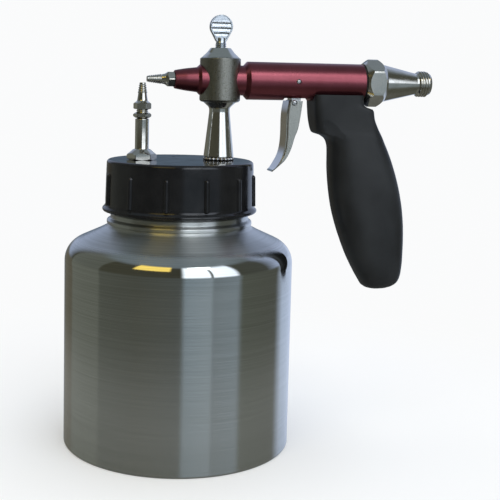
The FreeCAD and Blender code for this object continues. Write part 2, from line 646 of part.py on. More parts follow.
def make_post_screw():
    body = new_body("post_screw_washer", POST_BASE)
    seat = "-cap_deck - flat_washer_h"
    ring(body, "washer", "post_bore_r + screw_room", "flat_washer_r", seat, "-cap_deck")
    body = new_body("post_screw", POST_BASE)
    corners = [
        ("0", seat + " - post_screw_head_h"), ("post_screw_head_r", seat + " - post_screw_head_h"),
        ("post_screw_head_r", seat), ("post_bore_r - slack", seat),
        ("post_bore_r - slack", "post_bore_h - post_screw_gap"), ("0", "post_bore_h - post_screw_gap"),
    ]
    turned(body, "screw", corners)
    slot_base = ("-post_screw_head_r - overrun", "-driver_slot_w / 2", seat + " - post_screw_head_h")
    primitive(body, "SubtractiveBox", "slot", slot_base, Length="2 * post_screw_head_r + 2 * overrun",
              Width="driver_slot_w", Height="post_slot_h")


def make_thumb_screw():
    pad_z = "gun_z + collar_r + thumb_pad_gap"
    body = new_body("thumb_screw_pad", ("fitting_x", "0", pad_z))
    disc = [("0", "0"), ("thumb_pad_r", "0"), ("thumb_pad_r", "thumb_pad_h"), ("0", "thumb_pad_h")]
    turned(body, "pad", disc)
    body = new_body("thumb_screw", ("fitting_x", "0", "0"))
    low = pad_z + " + thumb_pad_h + slack"
    high = "thumb_neck_z + thumb_neck_in"
    turned(body, "shank", [("0", low), ("thumb_thread_r", low), ("thumb_thread_r", high), ("0", high)])
    flank_top = "thumb_disc_z - thumb_flank_drop"
    flank = [("-thumb_neck_hw", "thumb_neck_z"), ("thumb_neck_hw", "thumb_neck_z"),
             ("thumb_flank_hw", flank_top), ("-thumb_flank_hw", flank_top)]
    flat(body, "flank", flank, "thumb_disc_t")
    across = FreeCAD.Rotation(VECTOR(1, 0, 0), 90)
    primitive(body, "AdditiveCylinder", "disc", ("0", "thumb_disc_t / 2", "thumb_disc_z"), across,
              Radius="thumb_disc_r", Height="thumb_disc_t")


# ---------------------------------------------------------------- air gun

def make_barrel():
    body = gun_body("barrel")
    corners = [
        ("air_shank_r + slack", "barrel_front"), ("nose_front_r", "barrel_front"),
        ("nose_mid_r", "(barrel_front + nose_back) / 2"),
        ("nose_back_r", "nose_back"), ("collar_r", "collar_front"), ("collar_r", "collar_back"),
        ("barrel_r", "step_back"), ("barrel_r", "barrel_back"), ("chamber_r", "barrel_back"),
        ("chamber_r", "chamber_front"), ("0", "chamber_front"), ("0", "front_bore_end"),
        ("front_bore_r", "front_bore_end"), ("front_bore_r", "air_shank_end + air_shank_gap"),
        ("air_shank_r + slack", "air_shank_end + air_shank_gap"),
    ]
    turned(body, "tube", corners)
    reach = value("transfer_back - transfer_front")
    climb = value("transfer_back_up - transfer_front_up")
    tilt = FreeCAD.Rotation(VECTOR(0, 1, 0), -math.degrees(math.atan2(climb, reach)))
    primitive(body, "SubtractiveCylinder", "transfer", ("-transfer_front_up", "0", "transfer_front"), tilt,
              Radius="transfer_r", Height="transfer_back - transfer_front")
    primitive(body, "SubtractiveBox", "trigger_slot", ("-slot_up", "-slot_hw", "slot_front"),
              Length="slot_up + barrel_r + overrun", Width="2 * slot_hw", Height="slot_back - slot_front")
    primitive(body, "SubtractiveBox", "flat", ("barrel_r - flat_cut", "-barrel_r", "flat_front"),
              Length="flat_cut + overrun", Width="2 * barrel_r", Height="flat_back - flat_front")
    primitive(body, "SubtractiveCylinder", "rod_hole", ("valve_low", "0", "slot_back - overrun"),
              Radius="valve_rod_r + slack", Height="chamber_front - slot_back + 2 * overrun")
    across = FreeCAD.Rotation(VECTOR(1, 0, 0), 90)
    primitive(body, "SubtractiveCylinder", "pin_hole", ("0", "barrel_r + overrun", "pivot_at"), across,
              Radius="pin_r + slack", Height="2 * barrel_r + 2 * overrun")
    lean = value("bolt_lean")
    down = FreeCAD.Rotation(VECTOR(0, 1, 0), 90 - lean)
    primitive(body, "AdditiveCylinder", "lug", ("lug_low", "0", "lug_at"), down,
              Radius="lug_r", Height="lug_length")
    thread_base = ("lug_low + bolt_tip * cos(bolt_lean)", "0", "lug_at + bolt_tip * sin(bolt_lean)")
    primitive(body, "SubtractiveCylinder", "lug_thread", thread_base, down,
              Radius="bolt_r + slack", Height="lug_length")


def make_air_tip():
    body = gun_body("air_tip")
    corners = [
        ("air_orifice_r", "air_tip_front"), ("air_tip_end_r", "air_tip_front"),
        ("air_tip_root_r", "air_tip_root"), ("air_hex_af / 2", "air_hex_front"),
        ("air_hex_af / 2", "air_hex_back"), ("air_shank_r", "air_hex_back"),
        ("air_shank_r", "air_shank_end"), ("air_tip_bore_r", "air_shank_end"),
        ("air_tip_bore_r", "air_hex_front"), ("air_orifice_r", "air_tip_root"),
    ]
    turned(body, "nozzle", corners)
    hexagon(body, "hexagon", "air_hex_front + air_hex_inset", "air_hex_back - air_hex_front - air_hex_inset",
            "air_hex_af", turn=value("air_hex_turn"))
    primitive(body, "SubtractiveCylinder", "bore", ("0", "0", "air_hex_front"), Radius="air_tip_bore_r",
              Height="air_shank_end - air_hex_front + overrun")
    body = gun_body("air_tip_seal")
    ring(body, "seal", "air_shank_r + slack", "air_seal_r", "air_hex_back", "barrel_front")


def make_trigger():
    """Curved channel, open at the rear, with a lever up into the barrel."""
    body = new_body("trigger", ("fitting_x + pivot_at", "0", "gun_z"))
    outline_corners = [("trigger_%s_x" % key, "trigger_%s_z" % key) for key, *_ in TRIGGER_CORNERS]
    flat(body, "channel", outline_corners, "2 * trigger_hw")
    inside = [("trigger_%s_x + trigger_face" % key, "trigger_%s_z" % key) for key in "bcd"]
    hollow = [("trigger_a_x + trigger_face", "hollow_high"), *inside, ("hollow_low_at", "hollow_low"),
              ("hollow_back", "hollow_back_low"), ("hollow_back", "hollow_high")]
    flat(body, "hollow", hollow, "2 * (lever_hw + slack)", "PartDesign::Pocket")
    across = FreeCAD.Rotation(VECTOR(1, 0, 0), 90)
    screw_base = ("trigger_screw_at - pivot_at", "trigger_hw + overrun", "-trigger_screw_low")
    primitive(body, "SubtractiveCylinder", "screw_hole", screw_base, across,
              Radius="trigger_screw_r + slack", Height="2 * trigger_hw + 2 * overrun")

    body = new_body("trigger_lever", ("fitting_x + pivot_at", "0", "gun_z"))
    lever = [("-lever_boss_r", "0"), ("lever_knee_at", "lever_knee"), ("lever_low_front", "lever_low"),
             ("lever_low_back", "lever_low"), ("lever_boss_r", "lever_knee"), ("lever_boss_r", "0")]
    flat(body, "lever", lever, "2 * lever_hw")
    primitive(body, "AdditiveCylinder", "boss", ("0", "lever_hw", "0"), across,
              Radius="lever_boss_r", Height="2 * lever_hw")
    primitive(body, "SubtractiveCylinder", "pin_hole", ("0", "lever_hw + overrun", "0"), across,
              Radius="pin_r + slack", Height="2 * lever_hw + 2 * overrun")
    primitive(body, "SubtractiveCylinder", "screw_hole", screw_base, across,
              Radius="trigger_screw_r + slack", Height="2 * trigger_hw + 2 * overrun")

    body = new_body("trigger_pivot_pin", ("fitting_x + pivot_at", "0", "gun_z"))
    primitive(body, "AdditiveCylinder", "pin", ("0", "barrel_r - pin_inset", "0"), across,
              Radius="pin_r", Height="2 * barrel_r - 2 * pin_inset")

    body = new_body("trigger_screw", ("fitting_x + trigger_screw_at", "0", "gun_z - trigger_screw_low"))
    primitive(body, "AdditiveCylinder", "screw", ("0", "trigger_hw - pin_inset", "0"), across,
              Radius="trigger_screw_r", Height="2 * trigger_hw - 2 * pin_inset")
    slot_base = ("-trigger_screw_r - overrun", "-trigger_hw", "-cross_slot_w / 2")
    primitive(body, "SubtractiveBox", "slot", slot_base, Length="2 * trigger_screw_r + 2 * overrun",
              Width="pin_inset + cross_slot_h", Height="cross_slot_w")


def valve_body_at(label):
    """A body on the valve's own axis, below the gun's axis."""
    return new_body(label, ("fitting_x", "0", "gun_z - valve_low"), GUN_TURN)


def make_valve():
    body = gun_body("valve_body")
    turned(body, "plug", [("0", "chamber_front"), ("valve_body_r", "chamber_front"),
                          ("valve_body_r", "valve_body_back"), ("0", "valve_body_back")])
    axis = "valve_low"
    primitive(body, "SubtractiveCylinder", "guide", (axis, "0", "chamber_front - overrun"),
              Radius="valve_rod_r + slack", Height="valve_body_back")
    primitive(body, "SubtractiveCylinder", "packing_room", (axis, "0", "chamber_front - overrun"),
              Radius="packing_r + slack", Height="packing_h + overrun + slack")
    primitive(body, "SubtractiveCylinder", "port", (axis, "0", "valve_port_front"),
              Radius="valve_port_r", Height="valve_body_back")
    up = FreeCAD.Rotation(VECTOR(0, 1, 0), -90)
    primitive(body, "SubtractiveCylinder", "side_port", (axis, "0", "side_port_at"), up,
              Radius="transfer_r", Height="valve_low + valve_body_r + overrun")

    body = valve_body_at("stem_packing")
    ring(body, "packing", "valve_rod_r + slack", "packing_r", "chamber_front", "chamber_front + packing_h")

    seal_back = "valve_body_back + valve_seal_h"
    head_back = seal_back + " + valve_head_h"
    body = valve_body_at("valve_seal")
    ring(body, "seal", "valve_rod_r + slack", "valve_head_r", "valve_body_back", seal_back)
    body = valve_body_at("valve_stem")
    corners = [
        ("0", "valve_rod_front"), ("rod_tip_r", "valve_rod_front"),
        ("valve_rod_r", "valve_rod_front + rod_tip_h"), ("valve_rod_r", seal_back),
        ("valve_head_r", seal_back), ("valve_head_r", head_back), ("valve_tail_r", head_back),
        ("valve_tail_r", head_back + " + valve_tail_h"), ("0", head_back + " + valve_tail_h"),
    ]
    turned(body, "rod", corners)


def make_valve_spring():
    """A round-wire coil between the valve's head and the connector."""
    body = valve_body_at("valve_spring")
    start = "valve_body_back + valve_seal_h + valve_head_h + spring_wire_r + spring_gap"
    length = "spigot_front - spring_wire_r - spring_gap - (%s)" % start
    sketch = body.newObject("Sketcher::SketchObject", "wire_profile")
    sketch.AttachmentSupport = [(origin_feature(body, "XZ_Plane"), "")]
    sketch.MapMode = "FlatFace"
    centre = VECTOR(value("spring_r"), value(start), 0)
    sketch.addGeometry(Part.Circle(centre, VECTOR(0, 0, 1), value("spring_wire_r")), False)
    across = sketch.addConstraint(Sketcher.Constraint("DistanceX", -1, 1, 0, 3, centre.x))
    sketch.setExpression("Constraints[%d]" % across, bind("spring_r"))
    up = sketch.addConstraint(Sketcher.Constraint("DistanceY", -1, 1, 0, 3, centre.y))
    sketch.setExpression("Constraints[%d]" % up, bind(start))
    wire = sketch.addConstraint(Sketcher.Constraint("Radius", 0, value("spring_wire_r")))
    sketch.setExpression("Constraints[%d]" % wire, bind("spring_wire_r"))
    coil = body.newObject("PartDesign::AdditiveHelix", "coil")
    coil.Profile = sketch
    coil.ReferenceAxis = (origin_feature(body, "Z_Axis"), [""])
    coil.Mode = "pitch-height-angle"
    coil.setExpression("Height", bind(length))
    coil.setExpression("Pitch", bind("(%s) / spring_turns" % length))
    doc.recompute()


def make_rear_connector():
    body = gun_body("connector_ring")
    ring(body, "ring", "spigot_r + slack", "ring_r", "barrel_back", "barrel_back + ring_h")
    body = gun_body("rear_connector")
    start = "barrel_back + ring_h"
    corners = [
        ("spigot_bore_r", "spigot_front"), ("spigot_r", "spigot_front"), ("spigot_r", start),
        ("cone_front_r", start), ("cone_front_r", "nut_back"), ("cone_back_r", "cone_back"),
        ("cone_back_r", "relief_back"), ("hose_thread_r", "relief_back"),
        ("hose_thread_r", "hose_end - hose_chamfer"), ("hose_thread_r - hose_chamfer", "hose_end"),
        ("hose_bore_r", "hose_end"), ("hose_bore_r", "nut_back"), ("spigot_bore_r", "nut_back"),
    ]
    turned(body, "cone", corners)
    hexagon(body, "hexagon", start, "nut_back - barrel_back - ring_h", "nut_af")
    primitive(body, "SubtractiveCylinder", "bore", ("0", "0", start), Radius="spigot_bore_r",
              Height="nut_back - barrel_back - ring_h")
    corner_r = "nut_af / sqrt(3)"
    outside = corner_r + " + overrun"
    front_cut = [("nut_front_r", start + " - overrun"), ("nut_front_r", start), (corner_r, "nut_full_front"),
                 (outside, "nut_full_front"), (outside, start + " - overrun")]
    turned(body, "front_corners", front_cut, "PartDesign::Groove")
    back_cut = [("cone_front_r", "nut_back + hair"), (corner_r, "nut_full_back"),
                (outside, "nut_full_back"), (outside, "nut_back + hair")]
    turned(body, "back_corners", back_cut, "PartDesign::Groove")


# ---------------------------------------------------------------- grip

def simple(kind, label, **sizes):
    """A Part primitive with its sizes bound to the sheet."""
    item = doc.addObject("Part::" + kind, label)
    for name, text in sizes.items():
        item.setExpression(name, bind(text))
    return item


def bolt_turn():
    """Turns local +Z down the bolt's axis, which leans back with the grip."""
    return FreeCAD.Rotation(VECTOR(0, 1, 0), 180 - value("bolt_lean"))


def along_bolt(distance):
    """A point on the bolt's axis, measured from the start of the lug."""
    return ("fitting_x + lug_at + (%s) * sin(bolt_lean)" % distance, "0",
            "gun_z - lug_low - (%s) * cos(bolt_lean)" % distance)


def make_grip():
    """Oval palm grip with a flat-sided saddle that cradles the barrel."""
    sections = []
    for key, *_ in GRIP_STATIONS:
        front, back = "grip_%s_front" % key, "grip_%s_back" % key
        oval = simple("Ellipse", "oval_" + key, MajorRadius="(%s - %s) / 2" % (back, front),
                      MinorRadius="grip_%s_hw" % key)
        place(oval, ("(%s + %s) / 2" % (back, front), "0", "grip_%s_z" % key))
        sections.append(oval)
    doc.recompute()
    palm = doc.addObject("Part::Loft", "palm")
    palm.Sections = sections
    palm.Solid = True
    saddle = simple("Box", "saddle", Length="saddle_back - saddle_front", Width="2 * saddle_hw",
                    Height="saddle_top_z - saddle_low_z")
    place(saddle, ("saddle_front", "-saddle_hw", "saddle_low_z"))
    heel = simple("Box", "heel", Length="heel_back - heel_front", Width="2 * saddle_hw",
                  Height="heel_z - saddle_low_z")
    place(heel, ("heel_front", "-saddle_hw", "saddle_low_z"))
    whole = doc.addObject("Part::MultiFuse", "grip_blank")
    whole.Shapes = [palm, saddle, heel]
    whole.Refine = True
    doc.recompute()

    barrel_room = simple("Cylinder", "barrel_room", Radius="barrel_room_r", Height="grip_reach")
    place(barrel_room, ("saddle_front - overrun", "0", "gun_z"), GUN_TURN)
    nut_room = simple("Cylinder", "nut_room", Radius="nut_af / sqrt(3) + nut_room_gap", Height="grip_reach")
    place(nut_room, ("fitting_x + nut_room_front", "0", "gun_z"), GUN_TURN)
    lug_room = simple("Cylinder", "lug_room", Radius="lug_r + bolt_room", Height="lug_length + bolt_room")
    place(lug_room, along_bolt("0"), bolt_turn())
    bolt_hole = simple("Cylinder", "bolt_hole", Radius="bolt_r + bolt_room", Height="bolt_seat")
    place(bolt_hole, along_bolt("0"), bolt_turn())
    counterbore = simple("Cylinder", "counterbore", Radius="bolt_washer_r + bolt_room", Height="grip_reach")
    place(counterbore, along_bolt("bolt_seat"), bolt_turn())
    tools = doc.addObject("Part::MultiFuse", "grip_cuts")
    tools.Shapes = [barrel_room, nut_room, lug_room, bolt_hole, counterbore]
    grip = doc.addObject("Part::Cut", "grip")
    grip.Base = whole
    grip.Tool = tools
    grip.Label = "grip"
    parts.append(grip)
    doc.recompute()


def make_grip_bolt():
    body = new_body("grip_bolt_washer", along_bolt("bolt_seat"), bolt_turn())
    ring(body, "washer", "bolt_r + screw_room", "bolt_washer_r", "0", "bolt_washer_h")
    body = new_body("grip_bolt", along_bolt("0"), bolt_turn())
    seat = "bolt_seat + bolt_washer_h"
    end = seat + " + bolt_head_h"
    corners = [("0", "bolt_tip"), ("bolt_r", "bolt_tip"), ("bolt_r", seat), ("bolt_head_r", seat),
               ("bolt_head_r", end), ("0", end)]
    turned(body, "bolt", corners)
    slot_base = ("-bolt_head_r - overrun", "-driver_slot_w / 2", end + " - bolt_slot_h")
    primitive(body, "SubtractiveBox", "slot", slot_base, Length="2 * bolt_head_r + 2 * overrun",
              Width="driver_slot_w", Height="bolt_slot_h + overrun")


def check(objects):
    """Stops if any object failed or any part's shape is missing or not valid."""
    for item in doc.Objects:
        if "Invalid" in item.State or "Error" in item.State:
            raise RuntimeError("%s is %s" % (item.Label, item.State))
    for item in objects:
        if item.Shape.isNull() or not item.Shape.isValid():
            raise RuntimeError("%s has no valid shape" % item.Label)


def main():
    make_cup()
    make_cap_gasket()
    make_screw_cap()
    make_siphon_tube()
    make_fluid_stem()
    make_stem_washer()
    make_stem_nuts()
    make_tip_seal()
    make_fluid_tip()
    make_star_washer()
    make_support_post()
    make_post_screw()
    make_thumb_screw()
    make_barrel()
    make_air_tip()
    make_trigger()
    make_valve()
    make_valve_spring()
    make_rear_connector()
    make_grip()
    make_grip_bolt()
    doc.recompute()
    check(parts)
    os.makedirs("parts", exist_ok=True)
    for item in parts:
        item.Shape.exportStep("parts/%s.step" % item.Label)
        print("%-20s %10.1f mm3  solids %d" % (item.Label, item.Shape.Volume, len(item.Shape.Solids)))


main()
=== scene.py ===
import math
import bmesh
import bpy
from mathutils import Matrix, Vector


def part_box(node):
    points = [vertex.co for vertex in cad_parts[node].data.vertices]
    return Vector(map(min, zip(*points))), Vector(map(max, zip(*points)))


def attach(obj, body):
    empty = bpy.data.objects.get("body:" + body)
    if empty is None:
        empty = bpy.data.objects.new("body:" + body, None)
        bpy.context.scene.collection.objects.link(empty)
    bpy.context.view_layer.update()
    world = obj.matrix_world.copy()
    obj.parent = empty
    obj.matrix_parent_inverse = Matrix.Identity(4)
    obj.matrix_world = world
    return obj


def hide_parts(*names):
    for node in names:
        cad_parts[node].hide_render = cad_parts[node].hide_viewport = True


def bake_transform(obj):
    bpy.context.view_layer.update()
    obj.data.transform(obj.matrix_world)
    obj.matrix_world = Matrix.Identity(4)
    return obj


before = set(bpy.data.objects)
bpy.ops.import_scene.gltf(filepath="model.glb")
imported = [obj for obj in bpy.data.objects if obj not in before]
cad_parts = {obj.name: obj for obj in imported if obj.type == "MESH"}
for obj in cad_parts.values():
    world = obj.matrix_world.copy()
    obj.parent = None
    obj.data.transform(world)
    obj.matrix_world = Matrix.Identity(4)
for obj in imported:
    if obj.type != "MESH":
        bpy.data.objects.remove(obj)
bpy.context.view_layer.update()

# Shapes are drawn in millimetres and scaled to metres when they become pieces.
MM = 0.001


# ---- places, all from the frame

def span(node):
    """Lowest and highest corner of a CAD node, in millimetres."""
    low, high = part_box(node)
    return low / MM, high / MM


def middle(node):
    """Centre of a CAD node's box, in millimetres."""
    low, high = span(node)
    return (low + high) / 2


CUP_HIGH = span("cup")[1]
CAP_LOW, CAP_HIGH = span("screw_cap")
POST_HIGH = span("support_post")[1]
TIP_LOW, TIP_HIGH = span("fluid_tip")
LOCK_LOW, LOCK_HIGH = span("tip_lock_nut")
BARREL_LOW, BARREL_HIGH = span("barrel")
AIR_TIP_LOW, AIR_TIP_HIGH = span("air_tip")
CONNECTOR_LOW, CONNECTOR_HIGH = span("rear_connector")
RING_LOW, RING_HIGH = span("connector_ring")
THUMB_LOW, THUMB_HIGH = span("thumb_screw")
GRIP_LOW = span("grip")[0]

CUP_R = CUP_HIGH.x
RIM_Z = CUP_HIGH.z
CAP_Z = CAP_LOW.z
CAP_TOP = CAP_HIGH.z
STEM_X = middle("tip_lock_nut").x
POST_X = middle("support_post").x
GUN_Z = middle("connector_ring").z
BARREL_R = BARREL_HIGH.y
PIVOT = middle("trigger_pivot_pin")
CROSS_SCREW = middle("trigger_screw")

def upright(x, z):
    """A frame whose Z axis stands at x, from height z."""
    return Matrix.Translation((x, 0, z))


def across(point):
    """A frame at a point, whose Z axis runs across the object."""
    return Matrix.Translation(point) @ Matrix.Rotation(math.radians(-90), 4, "X")


def leaning(point, degrees):
    """A frame at a point, whose Z axis leans from upright towards the rear."""
    return Matrix.Translation(point) @ Matrix.Rotation(math.radians(degrees), 4, "Y")


UPRIGHT = Matrix.Identity(4)
ALONG_GUN = leaning((POST_X, 0, GUN_Z), 90)


# ---- outlines

def rounded(corners, closed=False, facets=6, support=0.25):
    """Points of an outline whose corners (across, up, radius) are arcs, each with a point beside its ends."""
    points = []
    count = len(corners)
    for index, corner in enumerate(corners):
        here = Vector(corner[:2])
        radius = corner[2] if len(corner) > 2 else 0
        if radius == 0 or (not closed and index in (0, count - 1)):
            points.append(here)
            continue
        into = Vector(corners[index - 1][:2]) - here
        out = Vector(corners[(index + 1) % count][:2]) - here
        room = min(into.length, out.length) * 0.5
        into.normalize()
        out.normalize()
        half = into.angle(out) / 2
        reach = min(radius / math.tan(half), room)
        radius = reach * math.tan(half)
        centre = here + (into + out).normalized() * (radius / math.sin(half))
        start = here + into * reach
        turn = math.pi - 2 * half
        if into.x * out.y - into.y * out.x > 0:
            turn = -turn
        points.append(start + into * min(support, room - reach + 1e-3))
        for step in range(facets + 1):
            spoke = (start - centre).copy()
            spoke.rotate(Matrix.Rotation(turn * step / facets, 2))
            points.append(centre + spoke)
        points.append(here + out * (reach + min(support, room - reach + 1e-3)))
    return points


def smooth_line(points, count):
    """Evenly spaced points on a smooth curve through the given ones."""
    ends = [points[0], *points, points[-1]]
    dense = []
    for a, b, c, d in zip(ends, ends[1:], ends[2:], ends[3:]):
        a, b, c, d = Vector(a), Vector(b), Vector(c), Vector(d)
        for step in range(16):
            t = step / 16
            dense.append(0.5 * (2 * b + (c - a) * t + (2 * a - 5 * b + 4 * c - d) * t * t
                                + (3 * b - a - 3 * c + d) * t ** 3))
    dense.append(Vector(points[-1]))
    lengths = [0.0]
    for a, b in zip(dense, dense[1:]):
        lengths.append(lengths[-1] + (b - a).length)
    line = []
    index = 0
    for step in range(count):
        wanted = lengths[-1] * step / (count - 1)
        while index < len(lengths) - 2 and lengths[index + 1] < wanted:
            index += 1
        share = (wanted - lengths[index]) / max(lengths[index + 1] - lengths[index], 1e-9)
        line.append(dense[index].lerp(dense[index + 1], min(share, 1)))
    return line


def value_at(points, height):
    """The value at a height, from (height, value) points joined by straight lines, lowest first."""
    if height <= points[0][0]:
        return points[0][1]
    for (low, first), (high, second) in zip(points, points[1:]):
        if height <= high:
            return first + (second - first) * (height - low) / (high - low)
    return points[-1][1]


# ---- meshes

def even_angles(columns):
    """Angles of equally spaced columns."""
    return [2 * math.pi * column / columns for column in range(columns)]


def join_rings(mesh, rings, closed=False):
    """Faces between neighbouring rings of points; a ring of one point is a pole."""
    pairs = list(zip(rings, rings[1:]))
    if closed:
        pairs.append((rings[-1], rings[0]))
    columns = max(len(ring) for ring in rings)
    for low, high in pairs:
        for column in range(columns):
            following = (column + 1) % columns
            corners = [low[column % len(low)], low[following % len(low)],
                       high[following % len(high)], high[column % len(high)]]
            corners = list(dict.fromkeys(corners))
            if len(corners) > 2:
                mesh.faces.new(corners)


def around(radius, angle, height):
    """A point at a radius, an angle and a height."""
    return radius * math.cos(angle), radius * math.sin(angle), height


def spun(profile, angles=None, closed=False, mesh=None):
    """A turned shape about Z. Each place on the profile is (radius, height), or a function of the angle."""
    mesh = mesh or bmesh.new()
    angles = angles or even_angles(128)
    rings = []
    for place in profile:
        if not callable(place) and place[0] < 1e-6:
            rings.append([mesh.verts.new((0, 0, place[1]))])
            continue
        ring = []
        for angle in angles:
            radius, height = place(angle) if callable(place) else place
            ring.append(mesh.verts.new(around(radius, angle, height)))
        rings.append(ring)
    join_rings(mesh, rings, closed)
    return mesh


def loft(loops):
    """A closed skin through loops of equal length, with its ends capped."""
    mesh = bmesh.new()
    rings = [[mesh.verts.new(point) for point in loop] for loop in loops]
    join_rings(mesh, rings)
    mesh.faces.new(rings[0])
    mesh.faces.new(rings[-1])
    return mesh


# One turn of a thread: how far along the pitch it is, and how high between root and crest.
THREAD = [(0.0, 0.0), (0.1, 0.0), (0.2, 0.25), (0.4, 0.95), (0.46, 1.0), (0.54, 1.0), (0.6, 0.95),
          (0.8, 0.25), (0.9, 0.0)]


def add_thread(mesh, low, high, crest, root, pitch, angles):
    """A helical thread with narrow flat crests, which runs out into plain rings of its root radius."""
    turns = int(math.ceil((high - low) / pitch)) + 2
    run_out = 0.6 * pitch
    columns = len(angles)
    grid = []
    for column, angle in enumerate(angles):
        strip = []
        for turn in range(-1, turns):
            for share, rise in THREAD:
                height = low + (turn + share + column / columns) * pitch
                height = min(max(height, low), high)
                fade = min(1, (height - low) / run_out, (high - height) / run_out)
                radius = root + (crest - root) * rise * max(fade, 0)
                strip.append(mesh.verts.new(around(radius, angle, height)))
        grid.append(strip)
    rows = len(grid[0])
    for column in range(columns):
        left, right = grid[column], grid[(column + 1) % columns]
        shift = len(THREAD) if column + 1 == columns else 0
        for row in range(rows - 1):
            upper = min(row + 1 + shift, rows - 1)
            lower = min(row + shift, rows - 1)
            corners = list(dict.fromkeys([left[row], right[lower], right[upper], left[row + 1]]))
            if len(corners) > 2:
                mesh.faces.new(corners)
    tidy(mesh)


def tidy(mesh):
    """Joins points that coincide, drops faces of no area and turns the rest outwards."""
    bmesh.ops.remove_doubles(mesh, verts=mesh.verts, dist=1e-4)
    bmesh.ops.dissolve_degenerate(mesh, dist=1e-5, edges=mesh.edges)
    loose = [vert for vert in mesh.verts if not vert.link_faces]
    bmesh.ops.delete(mesh, geom=loose, context="VERTS")
    bmesh.ops.recalc_face_normals(mesh, faces=mesh.faces)


def box(low, high, bevel=0.0):
    """A block between two corners, with its edges rounded."""
    mesh = bmesh.new()
    size = Vector(high) - Vector(low)
    centre = (Vector(high) + Vector(low)) / 2
    bmesh.ops.create_cube(mesh, size=1, matrix=Matrix.Translation(centre) @ Matrix.Diagonal((*size, 1)))
    if bevel:
        bmesh.ops.bevel(mesh, geom=mesh.edges[:], offset=bevel, segments=3, profile=0.5, affect="EDGES")
    return mesh


def rod(radius, low, high, columns=48):
    """A plain round cutter about Z."""
    return spun([(0, low), (radius, low), (radius, high), (0, high)], even_angles(columns))


def placed(mesh, matrix):
    """The mesh moved by a matrix."""
    mesh.transform(matrix)
    return mesh


def as_object(mesh, name):
    """Puts a mesh in the scene as an object."""
    data = bpy.data.meshes.new(name)
    mesh.to_mesh(data)
    mesh.free()
    item = bpy.data.objects.new(name, data)
    bpy.context.scene.collection.objects.link(item)
    return item


def combined(mesh, tools, operation="DIFFERENCE"):
    """The mesh after a boolean with each tool in turn."""
    tidy(mesh)
    base = as_object(mesh, "boolean_base")
    helpers = []
    for tool in tools:
        tidy(tool)
        helper = as_object(tool, "boolean_tool")
        modifier = base.modifiers.new("boolean", "BOOLEAN")
        modifier.operation = operation
        modifier.solver = "EXACT"
        modifier.object = helper
        helpers.append(helper)
    result = bmesh.new()
    result.from_object(base, bpy.context.evaluated_depsgraph_get())
    for item in [base, *helpers]:
        data = item.data
        bpy.data.objects.remove(item)
        bpy.data.meshes.remove(data)
    return result


def piece(name, mesh, material, body, nodes, place=UPRIGHT, crease=34):
    """Turns a mesh into a piece that stands for the given CAD nodes, and rides on a body if one is given."""
    tidy(mesh)
    mesh.transform(Matrix.Scale(MM, 4) @ place)
    item = as_object(mesh, name)
    item.data.shade_smooth()
    item.data.set_sharp_from_angle(angle=math.radians(crease))
    item.data.materials.append(material)
    if body:
        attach(item, body)
    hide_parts(*nodes)
    return item


# ---- hexagons

HEX_ANGLES = 144


class Hexagon:
    """A hexagon with slightly rounded corners. One of them is at an angle of turn."""

    def __init__(self, across_flats, turn=0.0, sharpness=70):
        self.flat = across_flats / 2
        self.corner = self.flat / math.cos(math.radians(30))
        self.turn = turn
        self.sharpness = sharpness

    def radius(self, angle):
        total = 0.0
        for side in range(6):
            facing = math.cos(angle - math.radians(self.turn + 30 + 60 * side))
            if facing > 0:
                total += facing ** self.sharpness
        return self.flat / total ** (1 / self.sharpness)

    def cut(self, radius, height, corner_height):
        """Ring where a cone cuts the hexagon. The cone runs from a radius and height to the corners."""
        def place(angle):
            here = self.radius(angle)
            share = (here - radius) / (self.corner - radius)
            return here, height + (corner_height - height) * share
        return place


# ---- materials

class Wiring:
    """Short ways to wire a node tree."""

    def __init__(self, tree):
        self.tree = tree

    def node(self, kind, **settings):
        node = self.tree.nodes.new("ShaderNode" + kind)
        for name, value in settings.items():
            setattr(node, name, value)
        return node

    def feed(self, socket, value):
        """Gives a socket a number, a colour or another node's output."""
        if isinstance(value, tuple):
            socket.default_value = (*value, 1)
        elif isinstance(value, (int, float)):
            socket.default_value = value
        else:
            self.tree.links.new(value, socket)

    def math(self, operation, *values):
        node = self.node("Math", operation=operation)
        for socket, value in zip(node.inputs, values):
            self.feed(socket, value)
        return node.outputs[0]

    def ranged(self, value, low, high, to_low=0, to_high=1):
        """A value carried from one range to another, held at the ends."""
        node = self.node("MapRange")
        names = ("Value", "From Min", "From Max", "To Min", "To Max")
        for name, number in zip(names, (value, low, high, to_low, to_high)):
            self.feed(node.inputs[name], number)
        return node.outputs[0]


